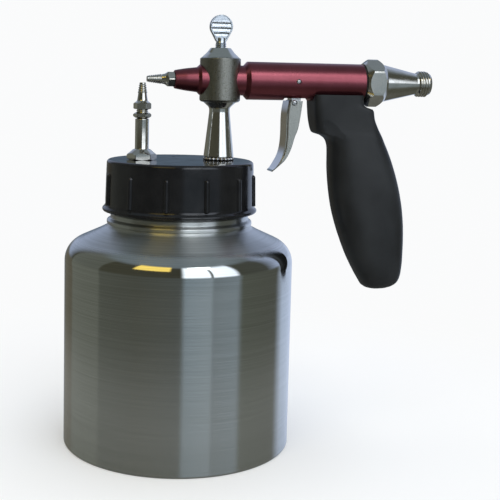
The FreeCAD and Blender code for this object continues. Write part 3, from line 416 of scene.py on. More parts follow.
class Shader(Wiring):
    """A principled material and its nodes."""

    def __init__(self, name, colour, metallic, roughness, **sockets):
        self.material = bpy.data.materials.new(name)
        self.material.use_nodes = True
        super().__init__(self.material.node_tree)
        self.shader = self.tree.nodes["Principled BSDF"]
        values = {"Base_Color": colour, "Metallic": metallic, "Roughness": roughness, **sockets}
        for socket, value in values.items():
            self.feed(self.shader.inputs[socket.replace("_", " ")], value)

    def place(self, output="Object"):
        return self.node("TexCoord").outputs[output]

    def axis(self, name, output="Object"):
        parts = self.node("SeparateXYZ")
        self.feed(parts.inputs[0], self.place(output))
        return parts.outputs[name]

    def noise(self, scale, detail=3.0, roughness=0.5):
        """Noise over the piece. Its scale per metre is one number, or one each along X, Y and Z."""
        mapping = self.node("Mapping")
        mapping.inputs["Scale"].default_value = scale if isinstance(scale, tuple) else (scale,) * 3
        self.feed(mapping.inputs["Vector"], self.place())
        noise = self.node("TexNoise")
        values = {"Scale": 1.0, "Detail": detail, "Roughness": roughness, "Vector": mapping.outputs[0]}
        for name, value in values.items():
            self.feed(noise.inputs[name], value)
        return noise.outputs[0]

    def spread(self, noise, low=0, high=1):
        """Spreads the middle of a noise over a range."""
        return self.ranged(noise, 0.3, 0.7, low, high)

    def blend(self, share, first, second):
        """Between two values, by a share."""
        node = self.node("Mix", data_type="FLOAT")
        for name, value in (("Factor", share), ("A", first), ("B", second)):
            self.feed(node.inputs[name], value)
        return node.outputs["Result"]

    def mixed(self, share, first, second):
        """Two shaders mixed by a share."""
        node = self.node("MixShader")
        for socket, value in zip(node.inputs, (share, first, second)):
            self.feed(socket, value)
        return node.outputs[0]

    def tint(self, share, first, second):
        """Colours the surface between two colours, by a share."""
        ramp = self.node("ValToRGB")
        ramp.color_ramp.elements[0].color = (*first, 1)
        ramp.color_ramp.elements[1].color = (*second, 1)
        self.feed(ramp.inputs[0], share)
        self.feed(self.shader.inputs["Base Color"], ramp.outputs[0])

    def rough(self, value):
        self.feed(self.shader.inputs["Roughness"], value)

    def bump(self, height, distance, strength=1.0):
        """Relief of the given height in metres."""
        node = self.node("Bump")
        for name, value in (("Strength", strength), ("Distance", distance), ("Height", height)):
            self.feed(node.inputs[name], value)
        self.feed(self.shader.inputs["Normal"], node.outputs[0])


def brushed_cup():
    """Spun aluminium: fine rings brushed round the wall, a polished shoulder and a duller neck."""
    look = Shader("cup_brushed_aluminium", (0.62, 0.63, 0.60), 1.0, 0.3,
                  Anisotropic=0.96, Anisotropic_Rotation=0.25)
    tangent = look.node("Tangent", direction_type="RADIAL", axis="Z")
    look.feed(look.shader.inputs["Tangent"], tangent.outputs[0])
    streaks = look.noise((14, 14, 3200), 4, 0.6)
    patches = look.noise(26, 3)
    shoulder = look.ranged(look.axis("Z"), 0.0865, 0.093)
    neck = look.ranged(look.axis("Z"), 0.0985, 0.1035)
    brushed, polished = look.spread(streaks, 0.11, 0.17), look.spread(patches, 0.05, 0.08)
    look.rough(look.blend(neck, look.blend(shoulder, brushed, polished), 0.34))
    look.tint(look.spread(streaks), (0.54, 0.55, 0.52), (0.68, 0.69, 0.67))
    look.bump(look.blend(shoulder, streaks, 0.5), 0.000006)
    return look.material


def polished_nickel():
    """Nickel plate on turned brass, with faint turning marks and soft wear."""
    look = Shader("polished_nickel", (0.70, 0.68, 0.62), 1.0, 0.12)
    patches = look.noise(240, 3)
    look.rough(look.ranged(patches, 0.3, 0.75, 0.07, 0.19))
    look.tint(look.spread(patches), (0.74, 0.72, 0.66), (0.60, 0.58, 0.52))
    look.bump(look.noise(900, 2), 0.000012, 0.6)
    return look.material


def cast_nickel():
    """Nickel plate over a casting: grained on the yoke, polished on the taper under it."""
    look = Shader("cast_nickel", (0.66, 0.64, 0.57), 1.0, 0.3)
    grain = look.noise(2100, 2, 0.6)
    yoke = look.ranged(look.axis("Z"), (CAP_TOP + 28.6) * MM, (CAP_TOP + 29.8) * MM)
    crown = look.ranged(look.axis("Z"), (CAP_TOP + 50.8) * MM, (CAP_TOP + 51.4) * MM, 1, 0)
    cast = look.math("MULTIPLY", yoke, crown)
    look.rough(look.blend(cast, 0.13, look.spread(grain, 0.26, 0.42)))
    look.tint(look.blend(cast, 0.9, look.spread(grain, 0, 0.3)), (0.23, 0.225, 0.19), (0.74, 0.73, 0.68))
    look.bump(look.blend(cast, 0.5, grain), 0.00012, 0.75)
    return look.material


def trigger_nickel():
    """Nickel plate, polished where the finger rests and left as cast on the cheeks."""
    look = Shader("trigger_nickel", (0.68, 0.67, 0.63), 1.0, 0.15)
    grain = look.noise(1700, 3, 0.6)
    cheek = look.ranged(look.math("ABSOLUTE", look.axis("Y", "Normal")), 0.6, 0.95)
    look.rough(look.blend(cheek, 0.11, look.spread(grain, 0.3, 0.5)))
    look.tint(look.blend(cheek, 0.9, look.spread(grain, 0, 0.55)), (0.30, 0.31, 0.27), (0.76, 0.76, 0.74))
    look.bump(look.blend(cheek, 0.5, grain), 0.00014, 0.8)
    return look.material


def red_anodised():
    """Satin red anodised aluminium with the lathe's rings faintly under it."""
    look = Shader("satin_red_anodised", (0.26, 0.05, 0.07), 1.0, 0.3, Coat_Weight=0.4, Coat_Roughness=0.3)
    rings = look.noise((5200, 60, 60), 3, 0.6)
    look.rough(look.spread(rings, 0.27, 0.38))
    look.tint(look.spread(look.noise(90, 3)), (0.245, 0.052, 0.066), (0.295, 0.068, 0.086))
    look.bump(rings, 0.000012, 0.8)
    return look.material


def plain(name, shader, worn, tints, patches, relief, grain=None):
    """A plain surface: soft patches vary its roughness and tint, and a grain gives it relief."""
    colour, metallic, roughness, sockets = shader
    look = Shader(name, colour, metallic, roughness, **sockets)
    noise = look.noise(*patches)
    look.rough(look.spread(noise, *worn))
    look.tint(look.spread(noise), *tints)
    look.bump(look.noise(*grain) if grain else noise, *relief)
    return look.material


def machined(name, light, dark, roughness):
    """Plain machined metal with soft marks."""
    return plain(name, (light, 1.0, roughness, {}), (roughness * 0.7, roughness * 1.4), (light, dark),
                 ((700, 700, 2600), 3, 0.6), (0.00002, 0.6))


CUP_METAL = brushed_cup()
NICKEL = polished_nickel()
CAST_NICKEL = cast_nickel()
TRIGGER_NICKEL = trigger_nickel()
ZINC = plain("bright_zinc", ((0.58, 0.62, 0.66), 1.0, 0.25, {}), (0.2, 0.34),
             ((0.66, 0.70, 0.74), (0.50, 0.54, 0.58)), (800, 3), (0.00004, 0.5))
RED = red_anodised()
CAP_BLACK = plain("gloss_black_plastic", ((0.008, 0.008, 0.009), 0.0, 0.14, {"IOR": 1.5}), (0.09, 0.2),
                  ((0.006, 0.006, 0.007), (0.011, 0.011, 0.012)), (120, 3), (0.00002, 0.5),
                  (420, 2))
GRIP_BLACK = plain("satin_black_plastic", ((0.016, 0.018, 0.020), 0.0, 0.46, {"IOR": 1.38}), (0.38, 0.48),
                   ((0.013, 0.014, 0.015), (0.021, 0.023, 0.025)), (60, 3), (0.00003, 0.6),
                   (3000, 2, 0.5))
STEEL = machined("machined_steel", (0.60, 0.60, 0.60), (0.46, 0.46, 0.45), 0.24)
BRASS = machined("machined_brass", (0.80, 0.60, 0.28), (0.66, 0.47, 0.20), 0.22)
RUBBER = plain("seal_rubber", ((0.02, 0.02, 0.02), 0.0, 0.75, {}), (0.6, 0.85),
               ((0.015, 0.015, 0.015), (0.03, 0.03, 0.029)), (1800, 3), (0.00004, 0.6))


# ---- cup and cap

def make_cup():
    """Spun cup: flat wall, rounded shoulder, a rolled bead above a crease, and a threaded neck."""
    neck = 35.75
    mouth = 32.8
    thread_root = 33.5
    thread_crest = 34.2
    thread_low, thread_high = RIM_Z - 20.2, RIM_Z - 3.6
    angles = even_angles(256)
    outside = rounded([
        (0, 0.5), (CUP_R - 5.5, 0.5, 1.0), (CUP_R - 3.2, 0, 0.6), (CUP_R, 0, 0.8), (CUP_R, 99.6, 11.5),
        (41.0, 106.9, 14.0), (36.7, 109.1, 4.0), (neck, 110.5, 0.1), (neck + 0.6, 110.9, 0.4),
        (neck + 0.6, 112.4, 0.9), (34.6, 113.5, 0.6), (34.4, 115.6, 0.4), (thread_root, 117.0, 0.6),
        (thread_root, thread_low),
    ], facets=10)
    inside = rounded([
        (thread_root, thread_high), (34.0, RIM_Z - 1.2, 0.3), (34.0, RIM_Z, 0.4), (mouth, RIM_Z, 0.4),
        (mouth, 109.3, 5.0), (CUP_R - 1.2, 98.8, 10.3), (CUP_R - 1.2, 1.6, 1.8), (0, 1.6),
    ], facets=8)
    mesh = spun(outside, angles)
    spun(inside, angles, mesh=mesh)
    add_thread(mesh, thread_low, thread_high, thread_crest, thread_root, 4.2, angles)
    piece("cup_shell", mesh, CUP_METAL, "cup", ["cup"])


RIB_COUNT = 12
RIB_TURN = 10.0
RIB_HALF = 1.3
RIB_HEIGHT = 1.15
RIB_TOP = 19.0


def rib_height(angle, height, radius):
    """How far a grip rib stands out of the cap's skirt at a place."""
    pitch = 2 * math.pi / RIB_COUNT
    offset = (angle - math.radians(RIB_TURN) + pitch / 2) % pitch - pitch / 2
    sideways = offset * radius / RIB_HALF
    above = max(0.0, (height - (RIB_TOP - RIB_HALF)) / RIB_HALF)
    inside = 1 - sideways ** 2 - above ** 2
    return RIB_HEIGHT * max(0.0, inside) ** 0.6


def ribbed(point):
    """A ring of the cap's skirt with its ribs standing out."""
    def place(angle):
        radius, height = point
        return radius + rib_height(angle, height, radius), height
    return place


def make_cap():
    """Screw cap with twelve ribs that end in round nubs, and a bead at its lower edge."""
    top = CAP_TOP - CAP_Z
    deck = top - 2.6
    flange = CAP_HIGH.x
    bore = 34.6
    skirt_low, skirt_top = 37.2, 36.6
    pitch = 2 * math.pi / RIB_COUNT
    steps = [-0.5, -0.44, -0.37, -0.3, -0.24, -0.19, -0.15, -0.12] + [share / 100 for share in range(-9, 10)]
    steps += [0.12, 0.15, 0.19, 0.24, 0.3, 0.37, 0.44]
    angles = []
    for rib in range(RIB_COUNT):
        centre = math.radians(RIB_TURN) + rib * pitch
        angles += [centre + pitch * step for step in steps]
    rim = rounded([(bore, 0), (flange - 0.5, 0, 0.4), (flange, 0.7, 0.5), (flange - 0.1, 1.4, 0.5),
                   (skirt_low + 0.35, 2.5, 1.2), (skirt_low, 3.45)], facets=5)
    rows = 40
    low_z, high_z = 3.5, RIB_TOP + 0.3
    skirt = []
    for row in range(rows + 1):
        height = low_z + (high_z - low_z) * (row / rows) ** 0.55
        radius = skirt_low + (skirt_top - skirt_low) * (height - low_z) / (top - low_z)
        skirt.append(ribbed((radius, height)))
    crown = rounded([(skirt_top + 0.2, high_z + 0.6), (skirt_top, top, 1.7), (0, top)], facets=10)
    under = rounded([(0, deck), (bore, deck, 0.6), (bore, 0)], facets=4)
    mesh = spun(rim + skirt + crown, angles)
    spun(under, angles, mesh=mesh)
    tidy(mesh)
    holes = []
    for x, y, radius in ((STEM_X, 0, 3.95), (POST_X, 0, 2.2), (0, POST_X, 0.8)):
        holes.append(placed(rod(radius, deck - 1, top + 1, 32), Matrix.Translation((x, y, 0))))
    mesh = combined(mesh, holes)
    piece("ribbed_cap", mesh, CAP_BLACK, "cap", ["screw_cap"], upright(0, CAP_Z))


# ---- fluid stem and tip

STEM_HEX_TURN = -5.0
TIP_HEX_TURN = -11.0


def make_stem():
    """Fluid stem: hexagonal foot under a cone, plain tube, threaded neck, and a shank through the cap."""
    side = Hexagon(13.0, STEM_HEX_TURN)
    foot = side.flat - 0.2
    tube = 3.45
    neck_root, neck_crest = 2.62, 3.0
    bore, shank = 1.6, 3.9
    neck_low, neck_high = 20.3, 26.9
    angles = even_angles(HEX_ANGLES)
    below = rounded([(bore, -5.0), (2.95, -5.0), (2.95, -11.0), (shank, -11.0, 0.3), (shank, 0), (foot, 0)])
    above = rounded([(4.5, 4.95), (4.2, 5.15, 0.2), (tube + 0.15, 5.2, 0.3), (tube, 5.8),
                     (tube, neck_low, 0.35), (neck_root, neck_low)], facets=4)
    mesh = spun(below + [side.cut(foot, 0, 0.7), side.cut(4.3, 5.1, 2.45)] + above, angles)
    spun([(neck_root, neck_high), (bore, neck_high), (bore, -5.0)], angles, mesh=mesh)
    add_thread(mesh, neck_low, neck_high, neck_crest, neck_root, 0.8, angles)
    piece("hex_foot_stem", mesh, NICKEL, "cap", ["fluid_stem"], upright(STEM_X, CAP_TOP), 30)


def make_lock_nut():
    """Thin lock nut with rounded faces under the fluid tip."""
    side = Hexagon(8.0, TIP_HEX_TURN, 40)
    face, rim = side.flat - 0.6, side.flat - 0.5
    height = LOCK_HIGH.z - LOCK_LOW.z
    bore = 3.05
    rings = [(bore, 0), (face, 0), side.cut(rim, 0.05, 0.9), side.cut(rim, height - 0.05, height - 0.9),
             (face, height), (bore, height)]
    mesh = spun(rings, even_angles(HEX_ANGLES), closed=True)
    piece("lock_nut", mesh, NICKEL, "cap", ["tip_lock_nut"], upright(STEM_X, LOCK_LOW.z), 50)


# One rounded hose barb: how far along it is, and how deep below its crest.
BARB = [(0.0, 1.0), (0.12, 1.0), (0.2, 0.45), (0.3, 0.08), (0.42, 0.0), (0.56, 0.05), (0.7, 0.4), (0.8, 0.85),
        (0.9, 1.0)]


def barbs(first, last, count, outer_first, outer_last, depth):
    """Rounded hose barbs along a nozzle, between two heights and two outer radii."""
    points = []
    pitch = (last - first) / count
    for barb in range(count):
        outer = outer_first + (outer_last - outer_first) * barb / (count - 1)
        points += [(outer - depth * drop, first + pitch * barb + pitch * share) for share, drop in BARB]
    return points


def make_fluid_tip():
    """Fluid tip: hexagon, concave flare, and a cone with four rounded barbs."""
    side = Hexagon(7.8, TIP_HEX_TURN, 60)
    flat = side.flat
    height = TIP_HIGH.z - TIP_LOW.z
    flare = rounded([(flat - 0.25, 3.35), (2.65, 4.1, 1.4), (2.15, 7.6)], facets=8)
    barbed = barbs(7.8, height - 0.9, 4, 2.38, 1.85, 0.28)
    nose = rounded([(1.45, height - 0.85), (1.62, height - 0.7, 0.1), (1.5, height, 0.25),
                    (0.75, height, 0.1), (0.75, height - 4.0), (1.6, height - 5.0), (1.6, 3.0),
                    (3.05, 3.0), (3.05, 1.15), (3.65, 1.15), (3.65, 0)], facets=4)
    hexagon = [(flat - 0.2, 0), side.cut(flat - 0.15, 0.0, 0.4), side.cut(flat - 0.1, 3.3, 2.6)]
    mesh = spun([*hexagon, *flare, *barbed, *nose], even_angles(HEX_ANGLES), closed=True)
    piece("barbed_fluid_tip", mesh, NICKEL, "tip", ["fluid_tip"], upright(STEM_X, TIP_LOW.z), 30)


# ---- post and thumb screw

def make_star_washer():
    """Toothed lock washer: round teeth like beads round its rim."""
    teeth = 20
    low, high = span("star_washer")
    outer = (high.x - low.x) / 2
    thick = high.z - low.z
    depth = 0.75

    def toothed(inset, height):
        def place(angle):
            wave = abs(math.cos(angle * teeth / 2)) ** 0.7
            return outer - inset - depth * (1 - wave), height
        return place

    rings = [(2.2, 0.1), toothed(0.55, 0.0), toothed(0.12, 0.25), toothed(0.0, 0.55),
             toothed(0.0, thick - 0.55), toothed(0.12, thick - 0.25), toothed(0.55, thick),
             (2.2, thick - 0.1)]
    mesh = spun(rings, even_angles(teeth * 16), closed=True)
    piece("toothed_washer", mesh, STEEL, "cap", ["star_washer"], upright(POST_X, CAP_TOP), 45)


def make_post():
    """Tapered post with a cast yoke, bored across for the gun and threaded down for the thumb screw."""
    washer = 1.5
    foot, waist, yoke, crown = 7.6, 5.15, 10.2, 5.0
    yoke_low, yoke_high = 29.7, 50.8
    top = POST_HIGH.z - CAP_TOP
    axis = GUN_Z - CAP_TOP
    neck = 7.55
    profile = rounded([
        (0, washer), (foot - 0.1, washer, 0.3), (foot - 0.05, washer + 0.6, 0.3), (waist, 24.2, 8.0),
        (waist + 0.05, 26.3, 3.0), (8.1, yoke_low - 0.75, 0.7), (yoke - 0.7, yoke_low - 0.45, 0.4),
        (yoke, yoke_low + 0.3, 0.5), (yoke, yoke_high - 0.2, 0.35), (yoke - 0.9, yoke_high + 0.45, 0.5),
        (6.9, yoke_high + 2.7, 3.5), (crown + 0.05, top, 0.3), (3.6, top, 0.2), (3.2, top - 0.7),
        (0, top - 0.7),
    ], facets=7)
    mesh = spun(profile, even_angles(160))
    lip = 0.35
    bore = rounded([(0, -13), (neck + 3.2, -13), (neck + 3.2, -12.9), (neck, -12.85), (neck, 13), (0, 13)])
    bore = spun(bore, even_angles(160))
    placed(bore, leaning((0, 0, axis), 90))
    thread = rod(2.9, axis, top + lip, 64)
    foot_thread = rod(2.0, 0, 14, 32)
    mesh = combined(mesh, [bore, thread, foot_thread])
    piece("tapered_post", mesh, CAST_NICKEL, "cap", ["support_post"], upright(POST_X, CAP_TOP), 30)


def paddle_section(wide, rim, face):
    """Section through the thumb screw's head: a thick rim round a thinner face."""
    edge = min(0.75, wide * 0.4)
    quarter = [(wide, rim * 0.6), (wide - 0.12, rim * 0.9), (wide - edge * 0.4, rim), (wide - edge, rim),
               (wide - edge * 1.35, face)]
    below = [(-x, -y) for x, y in quarter] + [(0, -face)] + [(x, -y) for x, y in reversed(quarter)]
    return below + [(-x, -y) for x, y in below]


def make_thumb_screw():
    """Thumb screw: threaded shank and a flat round head with stepped finger ridges on both faces."""
    neck_z = 202.0 - THUMB_LOW.z
    centre = 209.0 - THUMB_LOW.z
    radius = THUMB_HIGH.x - POST_X
    height = THUMB_HIGH.z - THUMB_LOW.z
    half_thick, half_neck = 1.5, 2.6
    crest, root = 2.84, 2.42
    thread_top = neck_z - 0.9
    angles = even_angles(96)
    mesh = spun([(0, 0), (root - 0.3, 0), (root, 0.3)], angles)
    add_thread(mesh, 0.3, thread_top, crest, root, 1.0, angles)
    spun(rounded([(root, thread_top), (root, neck_z + 1.5, 0.3), (0, neck_z + 1.5)], facets=3), angles,
         mesh=mesh)
    tidy(mesh)
    foot = neck_z - 0.3
    swell = centre - radius * 0.42

    def half_width(z):
        if z < swell:
            return half_neck + (radius * 0.905 - half_neck) * (z - foot) / (swell - foot)
        return math.sqrt(max(radius ** 2 - (z - centre) ** 2, 0.0))

    def half_face(z):
        """Half the thickness of the face, which three shallow steps cross."""
        ridge = 0.0
        for step in (-2.9, -0.4, 2.1):
            away = z - centre - step
            ridge += 0.3 * math.exp(-(away / 0.32) ** 2) - 0.28 * math.exp(-((away + 0.85) / 0.42) ** 2)
        return min(half_thick - 0.3 + ridge, half_thick)

    rows = 96
    loops = []
    for row in range(rows + 1):
        z = foot + (height - 0.02 - foot) * (1 - (1 - row / rows) ** 1.6)
        section = paddle_section(max(half_width(z), 0.15), half_thick, half_face(z))
        loops.append([(x, y, z) for x, y in section])
    mesh = combined(mesh, [loft(loops)], "UNION")
    place = upright(POST_X, THUMB_LOW.z)
    piece("ridged_thumb_screw", mesh, ZINC, "clamp_screw", ["thumb_screw"], place, 40)


# ---- gun

# The lug that holds the grip: back along the barrel, down from its axis, and its lean in degrees.
LUG_BACK = 62.0
LUG_DOWN = 8.6
LUG_LEAN = 14.8


def make_barrel():
    """Red barrel: tapered nose, neck for the yoke, and a body slotted underneath for the trigger."""
    front, back = BARREL_LOW.x - POST_X, BARREL_HIGH.x - POST_X
    nose_back, collar_front, collar_back, step_back = -11.9, -10.5, 11.9, 13.85
    collar = 7.5
    chamber, chamber_front = 7.2, 46.2
    profile = rounded([
        (2.9, front), (4.35, front, 0.1), (4.6, front + 0.3, 0.2), (5.55, (front + nose_back) / 2, 30),
        (6.2, nose_back, 0.3), (collar, collar_front, 0.25), (collar, collar_back, 0.25),
        (BARREL_R, step_back, 0.3), (BARREL_R, back - 0.3, 0.2), (BARREL_R - 0.35, back, 0.1),
        (chamber, back), (chamber, chamber_front), (0, chamber_front),
    ], facets=5)
    inner = [(0, 8.0), (2.4, 8.0), (2.4, -16.2), (2.9, -16.2), (2.9, front)]
    angles = even_angles(160)
    mesh = spun(profile, angles)
    spun(inner, angles, mesh=mesh)
    slot = box((-3.1, -4.3, 33.4), (BARREL_R + 2, 4.3, 45.2), 0.4)
    flat = box((BARREL_R - 1.2, -BARREL_R - 1, 32.4), (BARREL_R + 2, BARREL_R + 1, 46.0))
    pin = placed(rod(1.3, -BARREL_R - 1, BARREL_R + 1), across((0, 0, PIVOT.x - POST_X)))
    rod_hole = placed(rod(1.05, 44.5, 47.0), upright(4.4, 0))
    mesh = combined(mesh, [slot, flat, pin, rod_hole])
    lug = rounded([(2.05, 9.0), (3.8, 9.0, 0.3), (3.8, 0), (2.05, 0)], True)
    lug = spun(lug, even_angles(48), closed=True)
    placed(lug, leaning((LUG_DOWN, 0, LUG_BACK), 90 - LUG_LEAN))
    mesh = combined(mesh, [lug], "UNION")
    piece("anodised_barrel", mesh, RED, "gun", ["barrel"], ALONG_GUN, 30)


def make_air_tip():
    """Air nozzle: six rounded barbs, a concave flare and a small hexagon."""
    front, end = AIR_TIP_LOW.x - POST_X, AIR_TIP_HIGH.x - POST_X
    hexagon_front, seal_low = -27.0, -23.8
    seal_high = BARREL_LOW.x - POST_X - 0.03
    side = Hexagon(7.2, 30, 60)
    flat = side.flat
    nose = rounded([(0.6, front + 4), (0.6, front, 0.08), (1.3, front, 0.2), (1.5, front + 0.3, 0.15),
                    (1.42, front + 0.7)], facets=3)
    barbed = barbs(front + 0.75, front + 7.3, 6, 1.72, 2.45, 0.25)
    flare = rounded([(2.3, front + 7.4), (2.6, front + 8.9, 1.2), (flat - 0.2, hexagon_front + 0.15)])
    hexagon = [side.cut(flat - 0.1, hexagon_front + 0.2, hexagon_front + 0.8),
               side.cut(flat - 0.1, seal_high, seal_high - 0.37)]
    shank = [(flat - 0.15, seal_high), (3.42, seal_high), (3.42, seal_low), (2.85, seal_low), (2.85, end),
             (1.5, end), (1.5, hexagon_front), (0.6, front + 8.2)]
    mesh = spun([*nose, *barbed, *flare, *hexagon, *shank], even_angles(HEX_ANGLES), closed=True)
    piece("barbed_air_tip", mesh, NICKEL, "gun", ["air_tip"], ALONG_GUN, 30)
    seal = [(2.92, seal_low), (3.38, seal_low, 0.1), (3.38, seal_high, 0.1), (2.92, seal_high)]
    mesh = spun(rounded(seal, True, 3, 0.02), even_angles(64), closed=True)
    piece("tip_joint_seal", mesh, RUBBER, "gun", ["air_tip_seal"], ALONG_GUN)


def make_connector():
    """Rear connector: chamfered hexagon, long cone, relief groove and a quarter-inch hose thread."""
    start = RING_HIGH.x - POST_X
    end = CONNECTOR_HIGH.x - POST_X
    spigot_front = CONNECTOR_LOW.x - POST_X
    side = Hexagon(21.2, 0, 90)
    full_front, full_back, nut_back = 77.9, 82.6, 85.4
    cone_back, relief_back = 103.2, 104.3
    crest, root = 6.65, 5.75
    thread_high = end - 0.8
    angles = even_angles(HEX_ANGLES)
    before = rounded([(2.4, spigot_front), (7.15, spigot_front, 0.2), (7.15, start), (9.7, start, 0.05),
                      (9.9, start)])
    after = rounded([(9.75, nut_back - 0.1), (9.6, nut_back + 0.2, 0.3), (5.55, cone_back, 0.4),
                     (5.5, relief_back, 0.3), (root, relief_back)], facets=5)
    tail = rounded([(root, thread_high), (5.5, end, 0.15), (2.95, end, 0.2), (2.7, end - 0.4),
                    (2.7, nut_back), (2.4, nut_back), (2.4, spigot_front)], facets=4)
    nut = [side.cut(9.9, start, full_front), side.cut(9.65, nut_back, full_back)]
    mesh = spun(before + nut + after, angles)
    spun(tail, angles, mesh=mesh)
    add_thread(mesh, relief_back, thread_high, crest, root, 1.41, angles)
    piece("hose_connector", mesh, NICKEL, "gun", ["rear_connector"], ALONG_GUN, 28)


def make_connector_ring():
    """Black sealing ring between the barrel and the connector, rounded at its rim."""
    low, high = RING_LOW.x - POST_X, RING_HIGH.x - POST_X
    outer = RING_HIGH.y
    rings = rounded([(7.2, low), (outer, low, 0.2), (outer, high, 0.2), (7.2, high)], True, 4, 0.05)
    mesh = spun(rings, even_angles(128), closed=True)
    piece("black_ring", mesh, RUBBER, "gun", ["connector_ring"], ALONG_GUN)


# ---- trigger

# Side outline of the trigger, across and up from its pivot.
TRIGGER_FRONT = [(-3.8, -9.7), (-4.6, -14.5), (-4.9, -19), (-4.9, -26.5), (-5.4, -33), (-6.9, -38.5),
                 (-9.8, -43.4), (-11.8, -45.1)]
TRIGGER_BACK = [(3.2, -9.7), (2.4, -16.2), (1.1, -23.8), (-0.4, -27.8), (-2.3, -34.2), (-4.9, -39.2),
                (-8.2, -42.6), (-11.2, -45.7)]


def make_trigger():
    """Curved channel with a rounded front, open behind, that runs into a forward-curled tip."""
    half, inner_half, wall = 6.5, 4.05, 2.0
    stations = 64
    fronts = smooth_line(TRIGGER_FRONT, stations)
    backs = smooth_line(TRIGGER_BACK, stations)
    loops = []
    for index, (front, back) in enumerate(zip(fronts, backs)):
        share = index / (stations - 1)
        depth = (back - front).length
        along = (back - front) / depth
        taper = 1 - 0.32 * max(0.0, (share - 0.8) / 0.2) ** 2
        wide = half * taper
        channel = min(inner_half, wide - 1.2)
        closing = min(1.0, max(0.0, (share - 0.55) / 0.2))
        floor = wall + (depth - wall - 0.05) * closing if depth > wall + 0.05 else depth - 0.05
        corner = min(1.3, depth * 0.45)
        section = rounded([
            (-wide, depth, 0.3), (-wide, 0, corner), (wide, 0, corner), (wide, depth, 0.3),
            (channel + 0.3, depth, 0.25), (channel, floor, 0.02), (-channel, floor, 0.02),
            (-channel - 0.3, depth, 0.25),
        ], True, 5, 0.05)
        loops.append([(front.x + along.x * deep, sideways, front.y + along.y * deep)
                      for sideways, deep in section])
    screw_at = across((CROSS_SCREW.x - PIVOT.x, 0, CROSS_SCREW.z - PIVOT.z))
    mesh = combined(loft(loops), [placed(rod(1.5, -half - 1, half + 1), screw_at)])
    place = Matrix.Translation(PIVOT)
    piece("curved_trigger", mesh, TRIGGER_NICKEL, "trigger", ["trigger"], place, 36)


def make_pins():
    """Pivot pin with domed ends, and the slotted screw across the trigger."""
    end = BARREL_R
    pin = rounded([(0, -end - 0.12), (0.8, -end - 0.06, 0.3), (1.25, -end + 0.35, 0.25),
                   (1.25, end - 0.35, 0.25), (0.8, end + 0.06, 0.3), (0, end + 0.12)], facets=4)
    mesh = spun(pin, even_angles(64))
    piece("pivot_pin", mesh, STEEL, "gun", ["trigger_pivot_pin"], across(PIVOT))
    end = 6.65
    screw = rounded([(0, -end - 0.1), (1.0, -end, 0.4), (1.45, -end + 0.5, 0.3), (1.45, end - 0.5, 0.3),
                     (1.0, end, 0.4), (0, end + 0.1)], facets=4)
    slot = box((-2, -0.25, -end - 0.3), (2, 0.25, -end + 0.75))
    placed(slot, Matrix.Rotation(math.radians(35), 4, "Z"))
    mesh = combined(spun(screw, even_angles(64)), [slot])
    piece("slotted_cross_screw", mesh, STEEL, "trigger", ["trigger_screw"], across(CROSS_SCREW))


def make_valve_spring():
    """Coil behind the valve's head."""
    low, high = span("valve_spring")
    centre = middle("valve_spring")
    wire = 0.28
    turns = 6
    steps = 40 * turns
    radius = (high.y - low.y) / 2 - wire
    length = high.x - low.x - 2 * wire
    loops = []
    for step in range(steps + 1):
        angle = 2 * math.pi * turns * step / steps
        outwards = Vector((0, math.cos(angle), math.sin(angle)))
        loop = []
        for side in even_angles(12):
            along = low.x + wire + length * step / steps + wire * math.sin(side)
            loop.append(Vector((along, centre.y, centre.z)) + (radius + wire * math.cos(side)) * outwards)
        loops.append(loop)
    item = piece("valve_coil_spring", loft(loops), STEEL, None, ["valve_spring"])
    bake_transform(item)


# ---- grip

# Side outline and width of the grip at each height: (height, front), (height, rear), (height, half width).
GRIP_FRONT = [(75.3, 104.5), (75.5, 101.5), (76.0, 99.5), (76.9, 98.2), (79.0, 96.9), (84.4, 93.7),
              (92.9, 89.3), (101.3, 85.8), (109.7, 82.8), (118.0, 80.5), (126.3, 79.0), (134.6, 78.0),
              (140.8, 77.6), (146.0, 77.6), (149.0, 77.5), (151.5, 77.0), (153.2, 76.3), (154.4, 75.2),
              (155.4, 73.6), (156.0, 71.6), (156.4, 70.2), (157.0, 69.2), (158.4, 68.6), (163.1, 67.8),
              (167.1, 67.3), (176.2, 66.8)]
GRIP_REAR = [(75.3, 105.5), (75.6, 109.5), (76.6, 113.2), (78.2, 115.8), (79.6, 116.9), (81.4, 117.7),
             (84.3, 118.3), (90.7, 118.8), (99.2, 118.9), (107.7, 118.6), (116.3, 117.7), (124.7, 116.1),
             (133.0, 113.9), (141.2, 111.1), (149.6, 107.4), (155.7, 104.2), (159.8, 101.7), (163.9, 99.7),
             (166.0, 99.3), (168.0, 99.0), (169.0, 98.4), (169.6, 97.2), (170.0, 95.5), (170.6, 94.0),
             (171.5, 93.3), (176.2, 93.1)]
GRIP_HALF = [(75.3, 3.0), (75.7, 5.4), (76.5, 7.4), (78.0, 9.2), (80.0, 10.3), (84.0, 11.1), (93.0, 11.8),
             (109.5, 12.3), (126.5, 12.2), (141.0, 11.5), (149.0, 10.9), (155.5, 10.3), (159.0, 10.0),
             (163.0, 9.9), (176.2, 9.9)]
GRIP_SQUARE = [(75.3, 2.4), (90.0, 2.6), (140.0, 2.8), (152.0, 3.2), (158.0, 4.6), (163.0, 6.5),
               (176.2, 7.0)]


def levels_of(points):
    """Every height in a table, and steps of about a millimetre between them."""
    levels = []
    for (low, _), (high, _) in zip(points, points[1:]):
        steps = max(1, int(math.ceil((high - low) / 1.1)))
        levels += [low + (high - low) * step / steps for step in range(steps)]
    return levels + [points[-1][0]]


